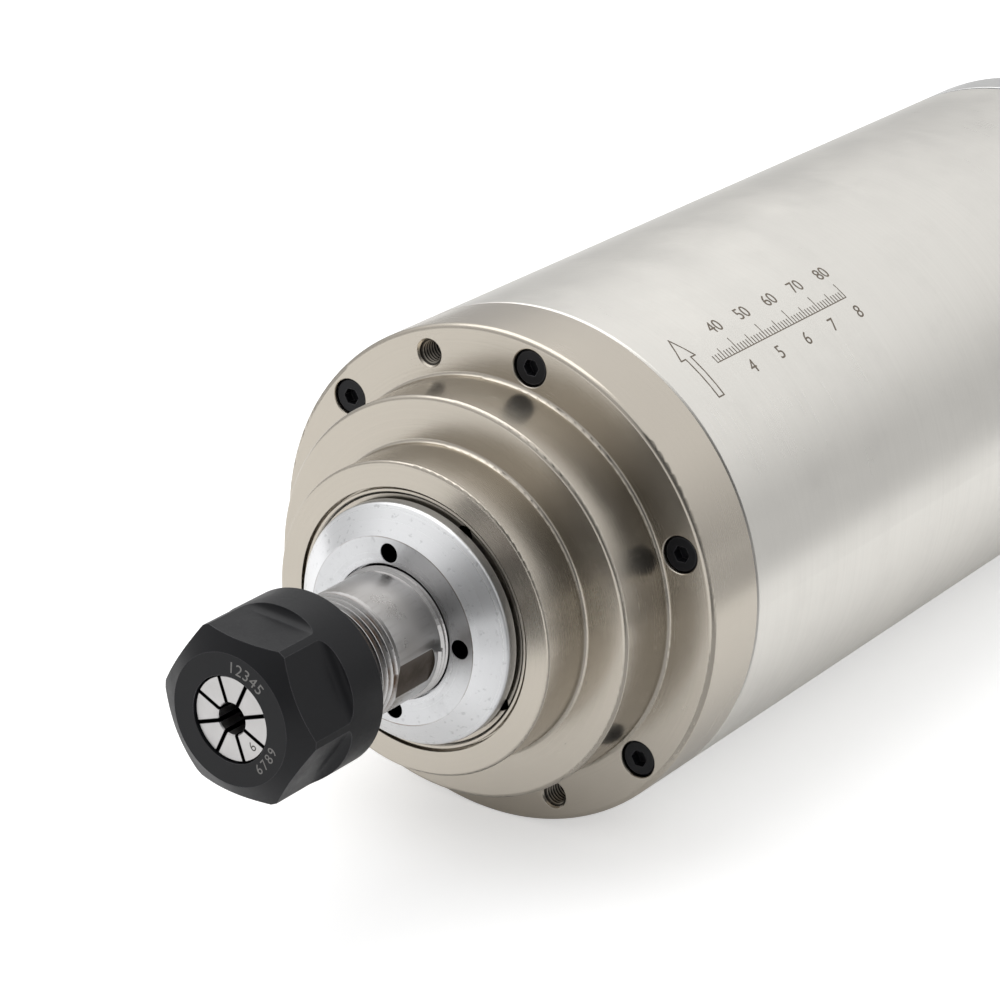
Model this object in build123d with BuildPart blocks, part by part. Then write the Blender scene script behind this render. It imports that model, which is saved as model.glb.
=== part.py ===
from build123d import *
from math import cos, radians, sin, tan
import os

os.makedirs("parts", exist_ok=True)

# Water-cooled motor spindle with a spring-collet nose.
# Lengths are in millimetres. The spindle's axis is Y and its nose points to -Y. The front face of the
# flange is y = 0. Angles go clockwise from the top, as seen from the front.

# Body
body_radius = 50.0
body_length = 220.0
flange_thickness = 15.5
rear_cover_thickness = 12.0
gasket_thickness = 0.6
gasket_inset = 0.05
sleeve_wall = 4.0
edge_chamfer = 1.0
seam_chamfer = 0.4
overcut = 1.0

# Stepped nose of the housing
flange_width = 10.0
pilot_length = 14.0
nose_wall_share = 0.2067
nose_length = 11.8
flange_edge = 1.0
pilot_edge = 0.8
nose_edge = 0.5
step_corner = 0.8

# Front screws and the two jacking threads in the flange
screw_edge_gap = 5.3
front_screw_count = 6
front_screw_angle = 11.0
jack_angle = -19.0
jack_radius = 2.5
jack_mouth_edge = 0.4
screw_radius = 2.0
screw_head_radius = 3.5
screw_head_height = 4.0
screw_head_gap = 0.2
screw_hole_edge = 0.15
screw_head_sink = 0.5
screw_clearance = 0.25
screw_key = 3.0
screw_key_depth = 2.0
screw_bite = 8.0
tap_spare = 2.0
screw_head_chamfer = 0.3

# Bearing cover, screwed into the nose
cover_seat_step = 2.55
cover_recess = 0.8
cover_groove = 0.5
cover_groove_depth = 1.6
cover_lip_width = 0.5
cover_lip_height = 0.4
cover_thickness = 8.0
cover_pin_count = 4
cover_pin_angle = 30.5
cover_pin_inset = 3.15
cover_pin_radius = 1.7
cover_pin_depth = 3.0

# Dust cap
cap_cone_width = 5.2
cap_face_width = 5.3
cap_bore_gap = 0.85
cap_bore_depth = 1.6
cap_length = 6.2
cap_rim = 2.2
cap_edge = 0.9
cap_gap = 0.8
cap_hub_wall = 4.05
cap_thread_gap = 0.5
cap_thread_reach = 2.4
labyrinth_gap = 0.4
cap_pin_count = 4
cap_pin_angle = -1.3
cap_pin_inset = 2.25
cap_pin_radius = 1.9
cap_pin_depth = 5.0

# Front bearings
front_journal_step = 2.55
front_bearing_section = 8.5
front_bearing_width = 9.0
front_ball_share = 0.3235
front_wall_share = 0.3235
front_ball_count = 14
bearing_spacing = 14.0
race_gap = 0.06
pocket_gap = 0.15
cage_share = 0.6
cage_side_gap = 0.8

# Rear bearings
rear_bearing_bore = 8.5
rear_bearing_section = 9.0
rear_bearing_width = 10.0
rear_ball_share = 0.289
rear_wall_share = 0.3444
rear_ball_count = 10

# Shaft
shaft_radius = 12.45
thread_fit = 0.05
thread_depth = 0.8
nose_thread_length = 24.8
cap_thread_step = 0.1
nose_plain_length = 11.3
flat_depth = 0.5
flat_angle = 100.0
flat_length = 10.5
flat_end_radius = 6.5
flat_offset = 0.8
shoulder_step = 2.5
shoulder_length = 35.0
rear_journal_step = 2.0
taper_end_step = 0.6
shaft_bore_length = 14.0
taper_spare = 1.0
drill_point_angle = 118.0
lock_nut_wall = 4.5
lock_nut_length = 6.0
lock_slot_width = 3.0
lock_slot_depth = 1.5
lock_slot_count = 4
shaft_tail = 3.0

# Collet
collet_length = 31.5
collet_wall = 1.95
collet_half_angle = 8.0
collet_face_step = 1.8
collet_face_half_angle = 30.0
collet_ridge_step = 0.8
collet_ridge_length = 1.2
collet_groove_depth = 1.0
collet_groove_length = 2.6
collet_bore = 3.0
collet_slot_count = 8
collet_slot_width = 0.55
collet_slot_angle = 26.0
collet_front_web = 5.0
collet_rear_web = 4.0
collet_edge = 0.2
collet_sink = 0.5
collet_fit = 0.06

# Collet nut
nut_wall = 4.55
nut_length = 22.4
nut_flat_depth = 1.92
nut_flat_angle = 5.0
nut_flat_count = 6
nut_flat_length = 11.8
nut_runout = 2.0
nut_chamfer_length = 2.8
nut_chamfer_width = 4.4
nut_rear_chamfer = 0.5
nut_mouth_gap = 0.35
nut_cone_gap = 0.12
nut_lip_gap = 0.4
nut_lip_offset = 0.3
nut_lip_reach = 0.5
nose_setback = 0.9

# Motor
motor_gap = 10.0
motor_rear_gap = 2.5
jacket_wall = 5.0
stator_bore_share = 0.6
stator_yoke = 5.4
slot_count = 24
slot_width = 3.4
slot_mouth = 1.2
slot_lip = 1.0
slot_liner = 0.2
coil_step = 1.4
coil_clearance = 2.0
coil_length = 16.0
air_gap = 0.4
rotor_bar_count = 20
rotor_bar_radius = 1.5
rotor_bar_sink = 2.4
rotor_bar_gap = 0.05
rotor_wall = 8.2
end_ring_length = 6.0
end_ring_step = 2.0

# Water jacket
end_ring_wall = 12.0
front_ring_length = 14.5
spigot_length = 8.5
seal_radius = 1.0
seal_setback = 2.0
channel_depth = 3.0
channel_count = 8
channel_setback = 12.0
channel_rear_setback = 1.4
rib_width = 5.0
rib_gap = 10.0
jacket_rear_length = 40.0
jacket_seal_offset = 6.0
seal_groove_width = 2.6
water_hole_radius = 2.0
water_hole_wall = 2.6

# Rear end
rear_screw_count = 6
rear_screw_angle = 0.0
rear_screw_edge_gap = 8.0
rear_housing_length = 27.5
rear_web = 3.3
rear_web_clearance = 2.0
rear_housing_gap = 12.0
spring_height = 2.2
spring_thickness = 0.5
spring_gap = 0.2
cover_spigot_wall = 5.0
cover_floor = 8.0
spigot_fit = 0.05
wire_hole_wall = 1.45

# Water nipples
port_edge_gap = 9.0
port_radius = 4.85
port_depth = 9.0
nipple_hex = 14.0
nipple_hex_length = 6.0
nipple_bore = 2.0
nipple_stem = 3.0
nipple_barb = 3.7
nipple_barb_pitch = 4.0
nipple_barb_count = 3
nipple_neck = 4.0
washer_thickness = 1.0
washer_radius = 7.0

# Power socket
socket_screw_gap = 1.3
socket_flange = 26.0
socket_flange_thickness = 2.5
socket_flange_corner = 3.0
socket_radius = 9.5
socket_length = 14.0
socket_bore = 7.9
socket_tail_radius = 8.7
socket_tail_length = 9.0
socket_fit = 0.2
insert_front_depth = 8.0
insert_back_depth = 3.5
key_width = 1.6
key_depth = 1.0
pin_radius = 1.0
pin_pitch = 5.4
pin_reach = 4.5
pin_tail = 2.0
flange_screw_pitch = 20.0
flange_screw_radius = 1.5
flange_screw_head = 2.6
flange_screw_head_height = 2.4
flange_screw_bite = 5.0
flange_screw_key = 2.0
flange_screw_key_depth = 1.3

# Leads from the windings to the socket
wire_radius = 1.2
wire_pitch = 2.6
wire_bend_radius = 6.0
wire_bend_length = 11.0
wire_bend_gap = 4.0
wire_coil_gap = 0.4

# Sizes across the axis that follow the shaft, from its nose outwards
nose_thread_radius = shaft_radius + thread_fit
cap_thread_root = shaft_radius - cap_thread_step
cap_thread_radius = shaft_radius + cap_thread_gap
cap_bore = shaft_radius + cap_bore_gap
cap_hub_radius = cap_thread_radius + cap_hub_wall
cap_face_radius = cap_bore + cap_face_width
cap_radius = cap_face_radius + cap_cone_width
cap_pin_circle_radius = cap_bore + cap_pin_inset
front_bearing_bore = shaft_radius + front_journal_step
front_bearing_radius = front_bearing_bore + front_bearing_section
front_ball_radius = front_ball_share * front_bearing_section
front_ring_wall = front_wall_share * front_bearing_section
front_cage_thickness = cage_share * (front_bearing_section - 2 * front_ring_wall)
shaft_shoulder = front_bearing_bore + shoulder_step
cover_radius = front_bearing_radius + cover_seat_step
cover_pin_circle_radius = cover_radius - cover_pin_inset
collet_radius = shaft_radius - collet_wall
collet_ridge_radius = collet_radius - collet_ridge_step
collet_groove_radius = collet_ridge_radius - collet_groove_depth
collet_face_radius = collet_ridge_radius - collet_face_step
nut_radius = shaft_radius + nut_wall
nut_chamfer_radius = nut_radius - nut_chamfer_width

# Sizes across the axis that follow the rear bearings
rear_bearing_radius = rear_bearing_bore + rear_bearing_section
rear_ball_radius = rear_ball_share * rear_bearing_section
rear_ring_wall = rear_wall_share * rear_bearing_section
rear_cage_thickness = cage_share * (rear_bearing_section - 2 * rear_ring_wall)
rear_shaft_radius = rear_bearing_bore + rear_journal_step
lock_nut_radius = rear_bearing_bore + lock_nut_wall

# Sizes across the axis that follow the body
pilot_radius = body_radius - flange_width
nose_radius = cover_radius + nose_wall_share * (body_radius - cover_radius)
screw_circle_radius = body_radius - screw_edge_gap
sleeve_bore = body_radius - sleeve_wall
end_ring_inner = body_radius - end_ring_wall
channel_floor = sleeve_bore - channel_depth
water_hole_circle_radius = sleeve_bore - water_hole_wall
stator_radius = sleeve_bore - jacket_wall
stator_bore = stator_bore_share * stator_radius
slot_top = stator_bore + slot_lip
slot_bottom = stator_radius - stator_yoke
coil_inner_radius = slot_top + coil_step
coil_outer_radius = stator_radius - coil_clearance
rotor_radius = stator_bore - air_gap
rotor_seat = rotor_radius - rotor_wall
rear_screw_circle_radius = body_radius - rear_screw_edge_gap
port_circle_radius = body_radius - port_edge_gap
wire_hole_circle_radius = (end_ring_inner + rear_bearing_radius) / 2
wire_hole_radius = (end_ring_inner - rear_bearing_radius) / 2 - wire_hole_wall
wire_circle_radius = coil_inner_radius + wire_coil_gap + wire_radius + wire_pitch / 2
head_hole_radius = screw_head_radius + screw_head_gap
socket_drop = rear_screw_circle_radius - head_hole_radius - socket_screw_gap - socket_flange / 2
front_pitch = (front_bearing_bore + front_bearing_radius) / 2
rear_pitch = (rear_bearing_bore + rear_bearing_radius) / 2

# Places along the axis, from the nose to the tail
pilot_face = -pilot_length
nose_face = pilot_face - nose_length
cover_face = nose_face + cover_recess
cover_back = cover_face + cover_thickness
cap_back = cover_face - cap_gap
cap_face = nose_face - cap_length
front_bearing_start = cover_back
second_bearing_start = front_bearing_start + front_bearing_width + bearing_spacing
front_bearing_end = second_bearing_start + front_bearing_width
shoulder_end = front_bearing_end + shoulder_length
cap_thread_front = cap_face - cap_thread_reach
flat_back = cap_thread_front - flat_offset
flat_front = flat_back - flat_length
nose_thread_back = cap_thread_front - nose_plain_length
shaft_front = nose_thread_back - nose_thread_length
collet_shoulder = shaft_front - nose_setback
collet_groove_front = collet_shoulder - collet_groove_length
collet_ridge_front = collet_groove_front - collet_ridge_length
collet_cone_length = (collet_ridge_radius - collet_face_radius) / tan(radians(collet_face_half_angle))
collet_face = collet_ridge_front - collet_cone_length
collet_back = collet_face + collet_length
nut_face = collet_face - collet_sink
nut_back = nut_face + nut_length
cover_front = body_length - rear_cover_thickness
sleeve_back = cover_front - gasket_thickness
front_ring_back = flange_thickness + front_ring_length
spigot_back = flange_thickness + spigot_length
jacket_rear_start = sleeve_back - jacket_rear_length
channel_front = front_ring_back + channel_setback
channel_back = jacket_rear_start - channel_rear_setback
rear_housing_back = cover_front - rear_housing_gap
rear_housing_front = rear_housing_back - rear_housing_length
rear_bearing_front = rear_housing_front + rear_web + spring_height
rear_bearing_mid = rear_bearing_front + rear_bearing_width
rear_bearing_end = rear_bearing_mid + rear_bearing_width
stator_front = shoulder_end + motor_gap
coil_front = stator_front - coil_length
coil_back = rear_housing_front - motor_rear_gap
stator_back = coil_back - coil_length
stator_length = stator_back - stator_front
cover_cavity_back = body_length - cover_floor
cover_cavity_radius = end_ring_inner - cover_spigot_wall
port_half_angle = 180.0 / channel_count


def across(y):
    """Plane square to the axis at y. It looks forward: local x is X and local y is Z."""
    return Plane(origin=(0, y, 0), x_dir=(1, 0, 0), z_dir=(0, -1, 0))


def along(angle):
    """Plane through the axis at an angle from the top: local x is the radius and local y is Y."""
    a = radians(angle)
    return Plane(origin=(0, 0, 0), x_dir=(sin(a), 0, cos(a)), z_dir=(-cos(a), 0, sin(a)))


def facing(angle, distance):
    """Plane that faces outwards at an angle from the top: local x is sideways and local y is Y."""
    a = radians(angle)
    return Plane(
        origin=(distance * sin(a), 0, distance * cos(a)),
        x_dir=(cos(a), 0, -sin(a)),
        z_dir=(sin(a), 0, cos(a)),
    )


def from_top(angle):
    """Turn an angle from the top into one from local x."""
    return 90.0 - angle


def turn(points, mode=Mode.ADD, start=90.0):
    """Turn a closed outline of (radius, y) points about the axis. It is drawn at the start angle."""
    with BuildSketch(along(start)) as outline:
        with BuildLine():
            Polyline(*points, close=True)
        make_face()
    revolve(outline.sketch, axis=Axis.Y, mode=mode)


def turn_ring(inner, outer, front, back, mode=Mode.ADD):
    """Turn a plain ring with square edges."""
    turn([(inner, front), (outer, front), (outer, back), (inner, back)], mode)


def drill(radius, front, back, circle, count, angle):
    """Cut round holes along the axis, spread evenly on a circle."""
    with BuildSketch(across(front)) as holes:
        with PolarLocations(circle, count, from_top(angle)):
            Circle(radius)
    extrude(holes.sketch, amount=front - back, mode=Mode.SUBTRACT)


def open_mouths(radius, edge, face, inward, circle, count, angle):
    """Chamfer the mouths of round holes. inward is 1 when they open to the nose and -1 to the tail."""
    with BuildSketch(across(face)) as mouths:
        with PolarLocations(circle, count, from_top(angle)):
            Circle(radius + edge)
    extrude(mouths.sketch, amount=-inward * edge, taper=45, mode=Mode.SUBTRACT)


def turn_seal(radius, y):
    """Turn a round rubber ring."""
    with BuildSketch(Plane.XY) as section:
        with Locations((radius, y)):
            Circle(seal_radius)
    revolve(section.sketch, axis=Axis.Y)


def turn_race(inner, outer, front, width, pitch, ball_radius):
    """Turn a bearing ring with its ball track."""
    with BuildSketch(Plane.XY) as section:
        with Locations(((inner + outer) / 2, front + width / 2)):
            Rectangle(outer - inner, width)
        with Locations((pitch, front + width / 2)):
            Circle(ball_radius + race_gap, mode=Mode.SUBTRACT)
    revolve(section.sketch, axis=Axis.Y)


def turn_cage(front, width, pitch, thickness, ball_radius, count):
    """Turn a ball cage and cut its pockets."""
    inner = pitch - thickness / 2
    outer = pitch + thickness / 2
    turn_ring(inner, outer, front + cage_side_gap, front + width - cage_side_gap)
    for i in range(count):
        with BuildSketch(facing(i * 360.0 / count, inner - thickness)) as pocket:
            with Locations((0, front + width / 2)):
                Circle(ball_radius + pocket_gap)
        extrude(pocket.sketch, amount=3 * thickness, mode=Mode.SUBTRACT)


def place_balls(front, width, pitch, ball_radius, count):
    """Place one row of balls."""
    with Locations(across(front + width / 2)):
        with PolarLocations(pitch, count, from_top(0)):
            Sphere(ball_radius)


def rims(part, radius, y):
    """Round edges of a part at one radius and one place along the axis."""
    circles = part.edges().filter_by(GeomType.CIRCLE)
    return circles.filter_by(lambda edge: abs(edge.radius - radius) < 0.01 and abs(edge.center().Y - y) < 0.01)


def screw_spots(circle, count, angle):
    """Centres of screws spread evenly on a circle, in the local x and y of a plane across the axis."""
    step = 360.0 / count
    turns = [radians(from_top(angle + i * step)) for i in range(count)]
    return [(circle * cos(t), circle * sin(t)) for t in turns]


def place_hex_screws(seat, outward, radius, head_radius, head_height, length, key, key_depth, spots):
    """Place socket-head screws. outward is 1 when their heads point to the nose and -1 to the tail."""
    top = seat - outward * head_height
    with BuildSketch(across(seat)) as shanks:
        with Locations(*spots):
            Circle(radius)
    extrude(shanks.sketch, amount=-outward * length)
    with BuildSketch(across(seat)) as heads:
        with Locations(*spots):
            Circle(head_radius)
    extrude(heads.sketch, amount=outward * (head_height - screw_head_chamfer))
    with BuildSketch(across(top + outward * screw_head_chamfer)) as crowns:
        with Locations(*spots):
            Circle(head_radius)
    extrude(crowns.sketch, amount=outward * screw_head_chamfer, taper=45)
    with BuildSketch(across(top)) as keys:
        with Locations(*spots):
            RegularPolygon(key / 2, 6, major_radius=False)
    extrude(keys.sketch, amount=-outward * key_depth, mode=Mode.SUBTRACT)


def nipple_at(angle):
    """Axis of a water nipple."""
    a = radians(angle)
    return Axis((port_circle_radius * sin(a), 0, port_circle_radius * cos(a)), (0, 1, 0))


def nipple_outline(angle):
    """Plane with local x away from a nipple's axis and local y along Y."""
    a = radians(angle)
    return Plane(
        origin=(port_circle_radius * sin(a), 0, port_circle_radius * cos(a)),
        x_dir=(1, 0, 0),
        z_dir=(0, 0, 1),
    )


# Outer sleeve: plain round body, with a thick ring in front that takes the flange's screws
with BuildPart() as outer_sleeve:
    turn([
        (end_ring_inner, flange_thickness),
        (body_radius - seam_chamfer, flange_thickness),
        (body_radius, flange_thickness + seam_chamfer),
        (body_radius, sleeve_back - seam_chamfer),
        (body_radius - seam_chamfer, sleeve_back),
        (sleeve_bore, sleeve_back),
        (sleeve_bore, front_ring_back),
        (end_ring_inner, front_ring_back),
    ])
    drill(
        screw_radius + thread_fit,
        flange_thickness,
        flange_thickness + screw_bite + tap_spare,
        screw_circle_radius,
        front_screw_count,
        front_screw_angle,
    )

# Front housing: flange with two steps, bored for the bearings and the bearing cover
spigot_radius = end_ring_inner - spigot_fit
housing_bore = front_bearing_radius - front_ring_wall
seal_groove_back = spigot_back - seal_setback
seal_groove_front = seal_groove_back - seal_groove_width
with BuildPart() as front_housing:
    turn([
        (cover_radius, nose_face),
        (nose_radius, nose_face),
        (nose_radius, pilot_face),
        (pilot_radius, pilot_face),
        (pilot_radius, 0),
        (body_radius, 0),
        (body_radius, flange_thickness - seam_chamfer),
        (body_radius - seam_chamfer, flange_thickness),
        (spigot_radius, flange_thickness),
        (spigot_radius, seal_groove_front),
        (spigot_radius - 2 * seal_radius, seal_groove_front),
        (spigot_radius - 2 * seal_radius, seal_groove_back),
        (spigot_radius, seal_groove_back),
        (spigot_radius, spigot_back),
        (housing_bore, spigot_back),
        (housing_bore, front_bearing_end),
        (front_bearing_radius, front_bearing_end),
        (front_bearing_radius, cover_back),
        (cover_radius, cover_back),
    ])
    fillet(rims(front_housing, nose_radius, nose_face), nose_edge)
    fillet(rims(front_housing, nose_radius, pilot_face), step_corner)
    fillet(rims(front_housing, pilot_radius, pilot_face), pilot_edge)
    fillet(rims(front_housing, pilot_radius, 0), step_corner)
    fillet(rims(front_housing, body_radius, 0), flange_edge)
    head_seat = screw_head_sink + screw_head_height
    drill(
        head_hole_radius, 0, head_seat,
        screw_circle_radius, front_screw_count, front_screw_angle,
    )
    drill(
        screw_radius + screw_clearance, head_seat, flange_thickness,
        screw_circle_radius, front_screw_count, front_screw_angle,
    )
    open_mouths(
        head_hole_radius, screw_hole_edge, 0, 1,
        screw_circle_radius, front_screw_count, front_screw_angle,
    )
    drill(jack_radius, 0, flange_thickness, screw_circle_radius, 2, jack_angle)
    open_mouths(jack_radius, jack_mouth_edge, 0, 1, screw_circle_radius, 2, jack_angle)

# Bearing cover: ring screwed into the nose, with a thin groove round its front
with BuildPart() as bearing_cover:
    cover_lip = cover_radius - cover_groove
    cover_bore = cap_hub_radius + labyrinth_gap
    turn([
        (cover_bore, cover_face),
        (cover_lip - 2 * cover_lip_width, cover_face),
        (cover_lip - cover_lip_width, cover_face - cover_lip_height),
        (cover_lip, cover_face - cover_lip_height),
        (cover_lip, cover_face + cover_groove_depth),
        (cover_radius - thread_fit, cover_face + cover_groove_depth),
        (cover_radius - thread_fit, cover_back),
        (housing_bore, cover_back),
        (housing_bore, cover_back - cage_side_gap),
        (cover_bore, cover_back - cage_side_gap),
    ])
    drill(
        cover_pin_radius, cover_face, cover_face + cover_pin_depth,
        cover_pin_circle_radius, cover_pin_count, cover_pin_angle,
    )

# Front screws: six socket-head screws sunk in the flange
with BuildPart() as front_screws:
    place_hex_screws(
        head_seat, 1, screw_radius, screw_head_radius, screw_head_height,
        flange_thickness - head_seat + screw_bite, screw_key, screw_key_depth,
        screw_spots(screw_circle_radius, front_screw_count, front_screw_angle),
    )

# Spigot seal: rubber ring between the flange's spigot and the sleeve
with BuildPart() as spigot_seal:
    turn_seal(spigot_radius - seal_radius, seal_groove_front + seal_groove_width / 2)

# Water jacket: inner sleeve with long channels that join at alternate ends
with BuildPart() as water_jacket:
    jacket_seal_front = front_ring_back + jacket_seal_offset
    jacket_seal_back = channel_back + jacket_seal_offset
    turn([
        (stator_radius, front_ring_back),
        (sleeve_bore, front_ring_back),
        (sleeve_bore, sleeve_back),
        (end_ring_inner, sleeve_back),
        (end_ring_inner, jacket_rear_start),
        (stator_radius, jacket_rear_start),
    ])
    for seal_y in (jacket_seal_front, jacket_seal_back):
        turn_ring(
            sleeve_bore - 2 * seal_radius, sleeve_bore + overcut,
            seal_y - seal_groove_width / 2, seal_y + seal_groove_width / 2,
            mode=Mode.SUBTRACT,
        )
    with BuildSketch(across(channel_front)) as channels:
        Circle(sleeve_bore + overcut)
        Circle(channel_floor, mode=Mode.SUBTRACT)
        with PolarLocations(sleeve_bore, channel_count, from_top(0)):
            Rectangle(4 * channel_depth, rib_width, mode=Mode.SUBTRACT)
    extrude(channels.sketch, amount=channel_front - channel_back, mode=Mode.SUBTRACT)
    for rib in range(1, channel_count):
        gap_front = channel_front if rib % 2 else channel_back - rib_gap
        with BuildSketch(along(rib * 360.0 / channel_count)) as gap:
            with Locations((sleeve_bore, gap_front + rib_gap / 2)):
                Rectangle(2 * channel_depth, rib_gap)
        extrude(gap.sketch, amount=rib_width, both=True, mode=Mode.SUBTRACT)
    for side in (-1, 1):
        drill(
            water_hole_radius, channel_back - overcut, sleeve_back,
            water_hole_circle_radius, 1, side * port_half_angle,
        )
    drill(
        screw_radius + thread_fit, sleeve_back - screw_bite - tap_spare, sleeve_back,
        rear_screw_circle_radius, rear_screw_count, rear_screw_angle,
    )

# Jacket seals: a rubber ring in front of the channels and one behind them
with BuildPart() as jacket_seals:
    for seal_y in (jacket_seal_front, jacket_seal_back):
        turn_seal(sleeve_bore - seal_radius, seal_y)

# Stator core: ring of laminations with slots that open to the rotor
with BuildPart() as stator_core:
    turn_ring(stator_bore, stator_radius, stator_front, stator_back)
    with BuildSketch(across(stator_front)) as slots:
        with PolarLocations((slot_top + slot_bottom) / 2, slot_count, from_top(0)):
            Rectangle(slot_bottom - slot_top, slot_width)
        with PolarLocations(stator_bore, slot_count, from_top(0)):
            Rectangle(2 * slot_lip + slot_liner, slot_mouth)
    extrude(slots.sketch, amount=-stator_length, mode=Mode.SUBTRACT)

# Stator windings: a bar in each slot and the end turns that join them
with BuildPart() as stator_windings:
    turn_ring(coil_inner_radius, coil_outer_radius, coil_front, stator_front)
    turn_ring(coil_inner_radius, coil_outer_radius, stator_back, coil_back)
    bar_inner = coil_inner_radius + slot_liner
    bar_outer = slot_bottom - slot_liner
    with BuildSketch(across(stator_front)) as bars:
        with PolarLocations((bar_inner + bar_outer) / 2, slot_count, from_top(0)):
            Rectangle(bar_outer - bar_inner, slot_width - 2 * slot_liner)
    extrude(bars.sketch, amount=-stator_length)

# Rotor core: laminations pressed on the shaft, with round holes for the bars
bar_circle = rotor_radius - rotor_bar_sink
with BuildPart() as rotor_core:
    turn_ring(rotor_seat, rotor_radius, stator_front, stator_back)
    drill(
        rotor_bar_radius + rotor_bar_gap, stator_front, stator_back,
        bar_circle, rotor_bar_count, 0,
    )

# Rotor cage: bars and the two end rings that join them
with BuildPart() as rotor_cage:
    end_ring_bore = rotor_seat + end_ring_step
    turn_ring(end_ring_bore, rotor_radius, stator_front - end_ring_length, stator_front)
    turn_ring(end_ring_bore, rotor_radius, stator_back, stator_back + end_ring_length)
    with BuildSketch(across(stator_front)) as rods:
        with PolarLocations(bar_circle, rotor_bar_count, from_top(0)):
            Circle(rotor_bar_radius)
    extrude(rods.sketch, amount=-stator_length)

# Front bearings: a pair with ball tracks, cages and spacers between them
front_inner_edge = front_bearing_bore + front_ring_wall
front_starts = (front_bearing_start, second_bearing_start)
with BuildPart() as front_outer_rings:
    for y in front_starts:
        turn_race(
            housing_bore, front_bearing_radius, y, front_bearing_width,
            front_pitch, front_ball_radius,
        )
with BuildPart() as front_inner_rings:
    for y in front_starts:
        turn_race(
            front_bearing_bore, front_inner_edge, y, front_bearing_width,
            front_pitch, front_ball_radius,
        )
with BuildPart() as front_cages:
    for y in front_starts:
        turn_cage(
            y, front_bearing_width, front_pitch, front_cage_thickness, front_ball_radius, front_ball_count,
        )
with BuildPart() as front_balls:
    for y in front_starts:
        place_balls(y, front_bearing_width, front_pitch, front_ball_radius, front_ball_count)
with BuildPart() as outer_spacer:
    turn_ring(
        housing_bore, front_bearing_radius,
        front_bearing_start + front_bearing_width, second_bearing_start,
    )
with BuildPart() as inner_spacer:
    turn_ring(
        front_bearing_bore, front_inner_edge,
        front_bearing_start + front_bearing_width, second_bearing_start,
    )

# Rear bearings: a pair that slides in its housing against a spring
rear_outer_edge = rear_bearing_radius - rear_ring_wall
rear_inner_edge = rear_bearing_bore + rear_ring_wall
rear_starts = (rear_bearing_front, rear_bearing_mid)
with BuildPart() as rear_outer_rings:
    for y in rear_starts:
        turn_race(
            rear_outer_edge, rear_bearing_radius, y, rear_bearing_width,
            rear_pitch, rear_ball_radius,
        )
with BuildPart() as rear_inner_rings:
    for y in rear_starts:
        turn_race(
            rear_bearing_bore, rear_inner_edge, y, rear_bearing_width,
            rear_pitch, rear_ball_radius,
        )
with BuildPart() as rear_cages:
    for y in rear_starts:
        turn_cage(
            y, rear_bearing_width, rear_pitch, rear_cage_thickness, rear_ball_radius, rear_ball_count,
        )
with BuildPart() as rear_balls:
    for y in rear_starts:
        place_balls(y, rear_bearing_width, rear_pitch, rear_ball_radius, rear_ball_count)

# Rear housing: seat of the rear bearings, with a hole for the leads
with BuildPart() as rear_housing:
    spring_seat = rear_housing_front + rear_web
    turn([
        (rear_shaft_radius + rear_web_clearance, rear_housing_front),
        (end_ring_inner - spigot_fit, rear_housing_front),
        (end_ring_inner - spigot_fit, rear_housing_back),
        (rear_bearing_radius, rear_housing_back),
        (rear_bearing_radius, spring_seat),
        (rear_shaft_radius + rear_web_clearance, spring_seat),
    ])
    drill(wire_hole_radius, rear_housing_front, rear_housing_back, wire_hole_circle_radius, 1, 180)

# Preload spring: two disc springs with their inner edges together
with BuildPart() as preload_spring:
    spring_outer = rear_bearing_radius - spring_gap
    spring_inner = rear_shaft_radius + rear_web_clearance + spring_gap
    spring_mid = rear_bearing_front - spring_height / 2
    turn([
        (spring_outer, rear_bearing_front),
        (spring_outer, rear_bearing_front - spring_thickness),
        (spring_inner, spring_mid),
        (spring_inner, spring_mid + spring_thickness),
    ])
    turn([
        (spring_outer, spring_seat),
        (spring_outer, spring_seat + spring_thickness),
        (spring_inner, spring_mid),
        (spring_inner, spring_mid - spring_thickness),
    ])

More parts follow.
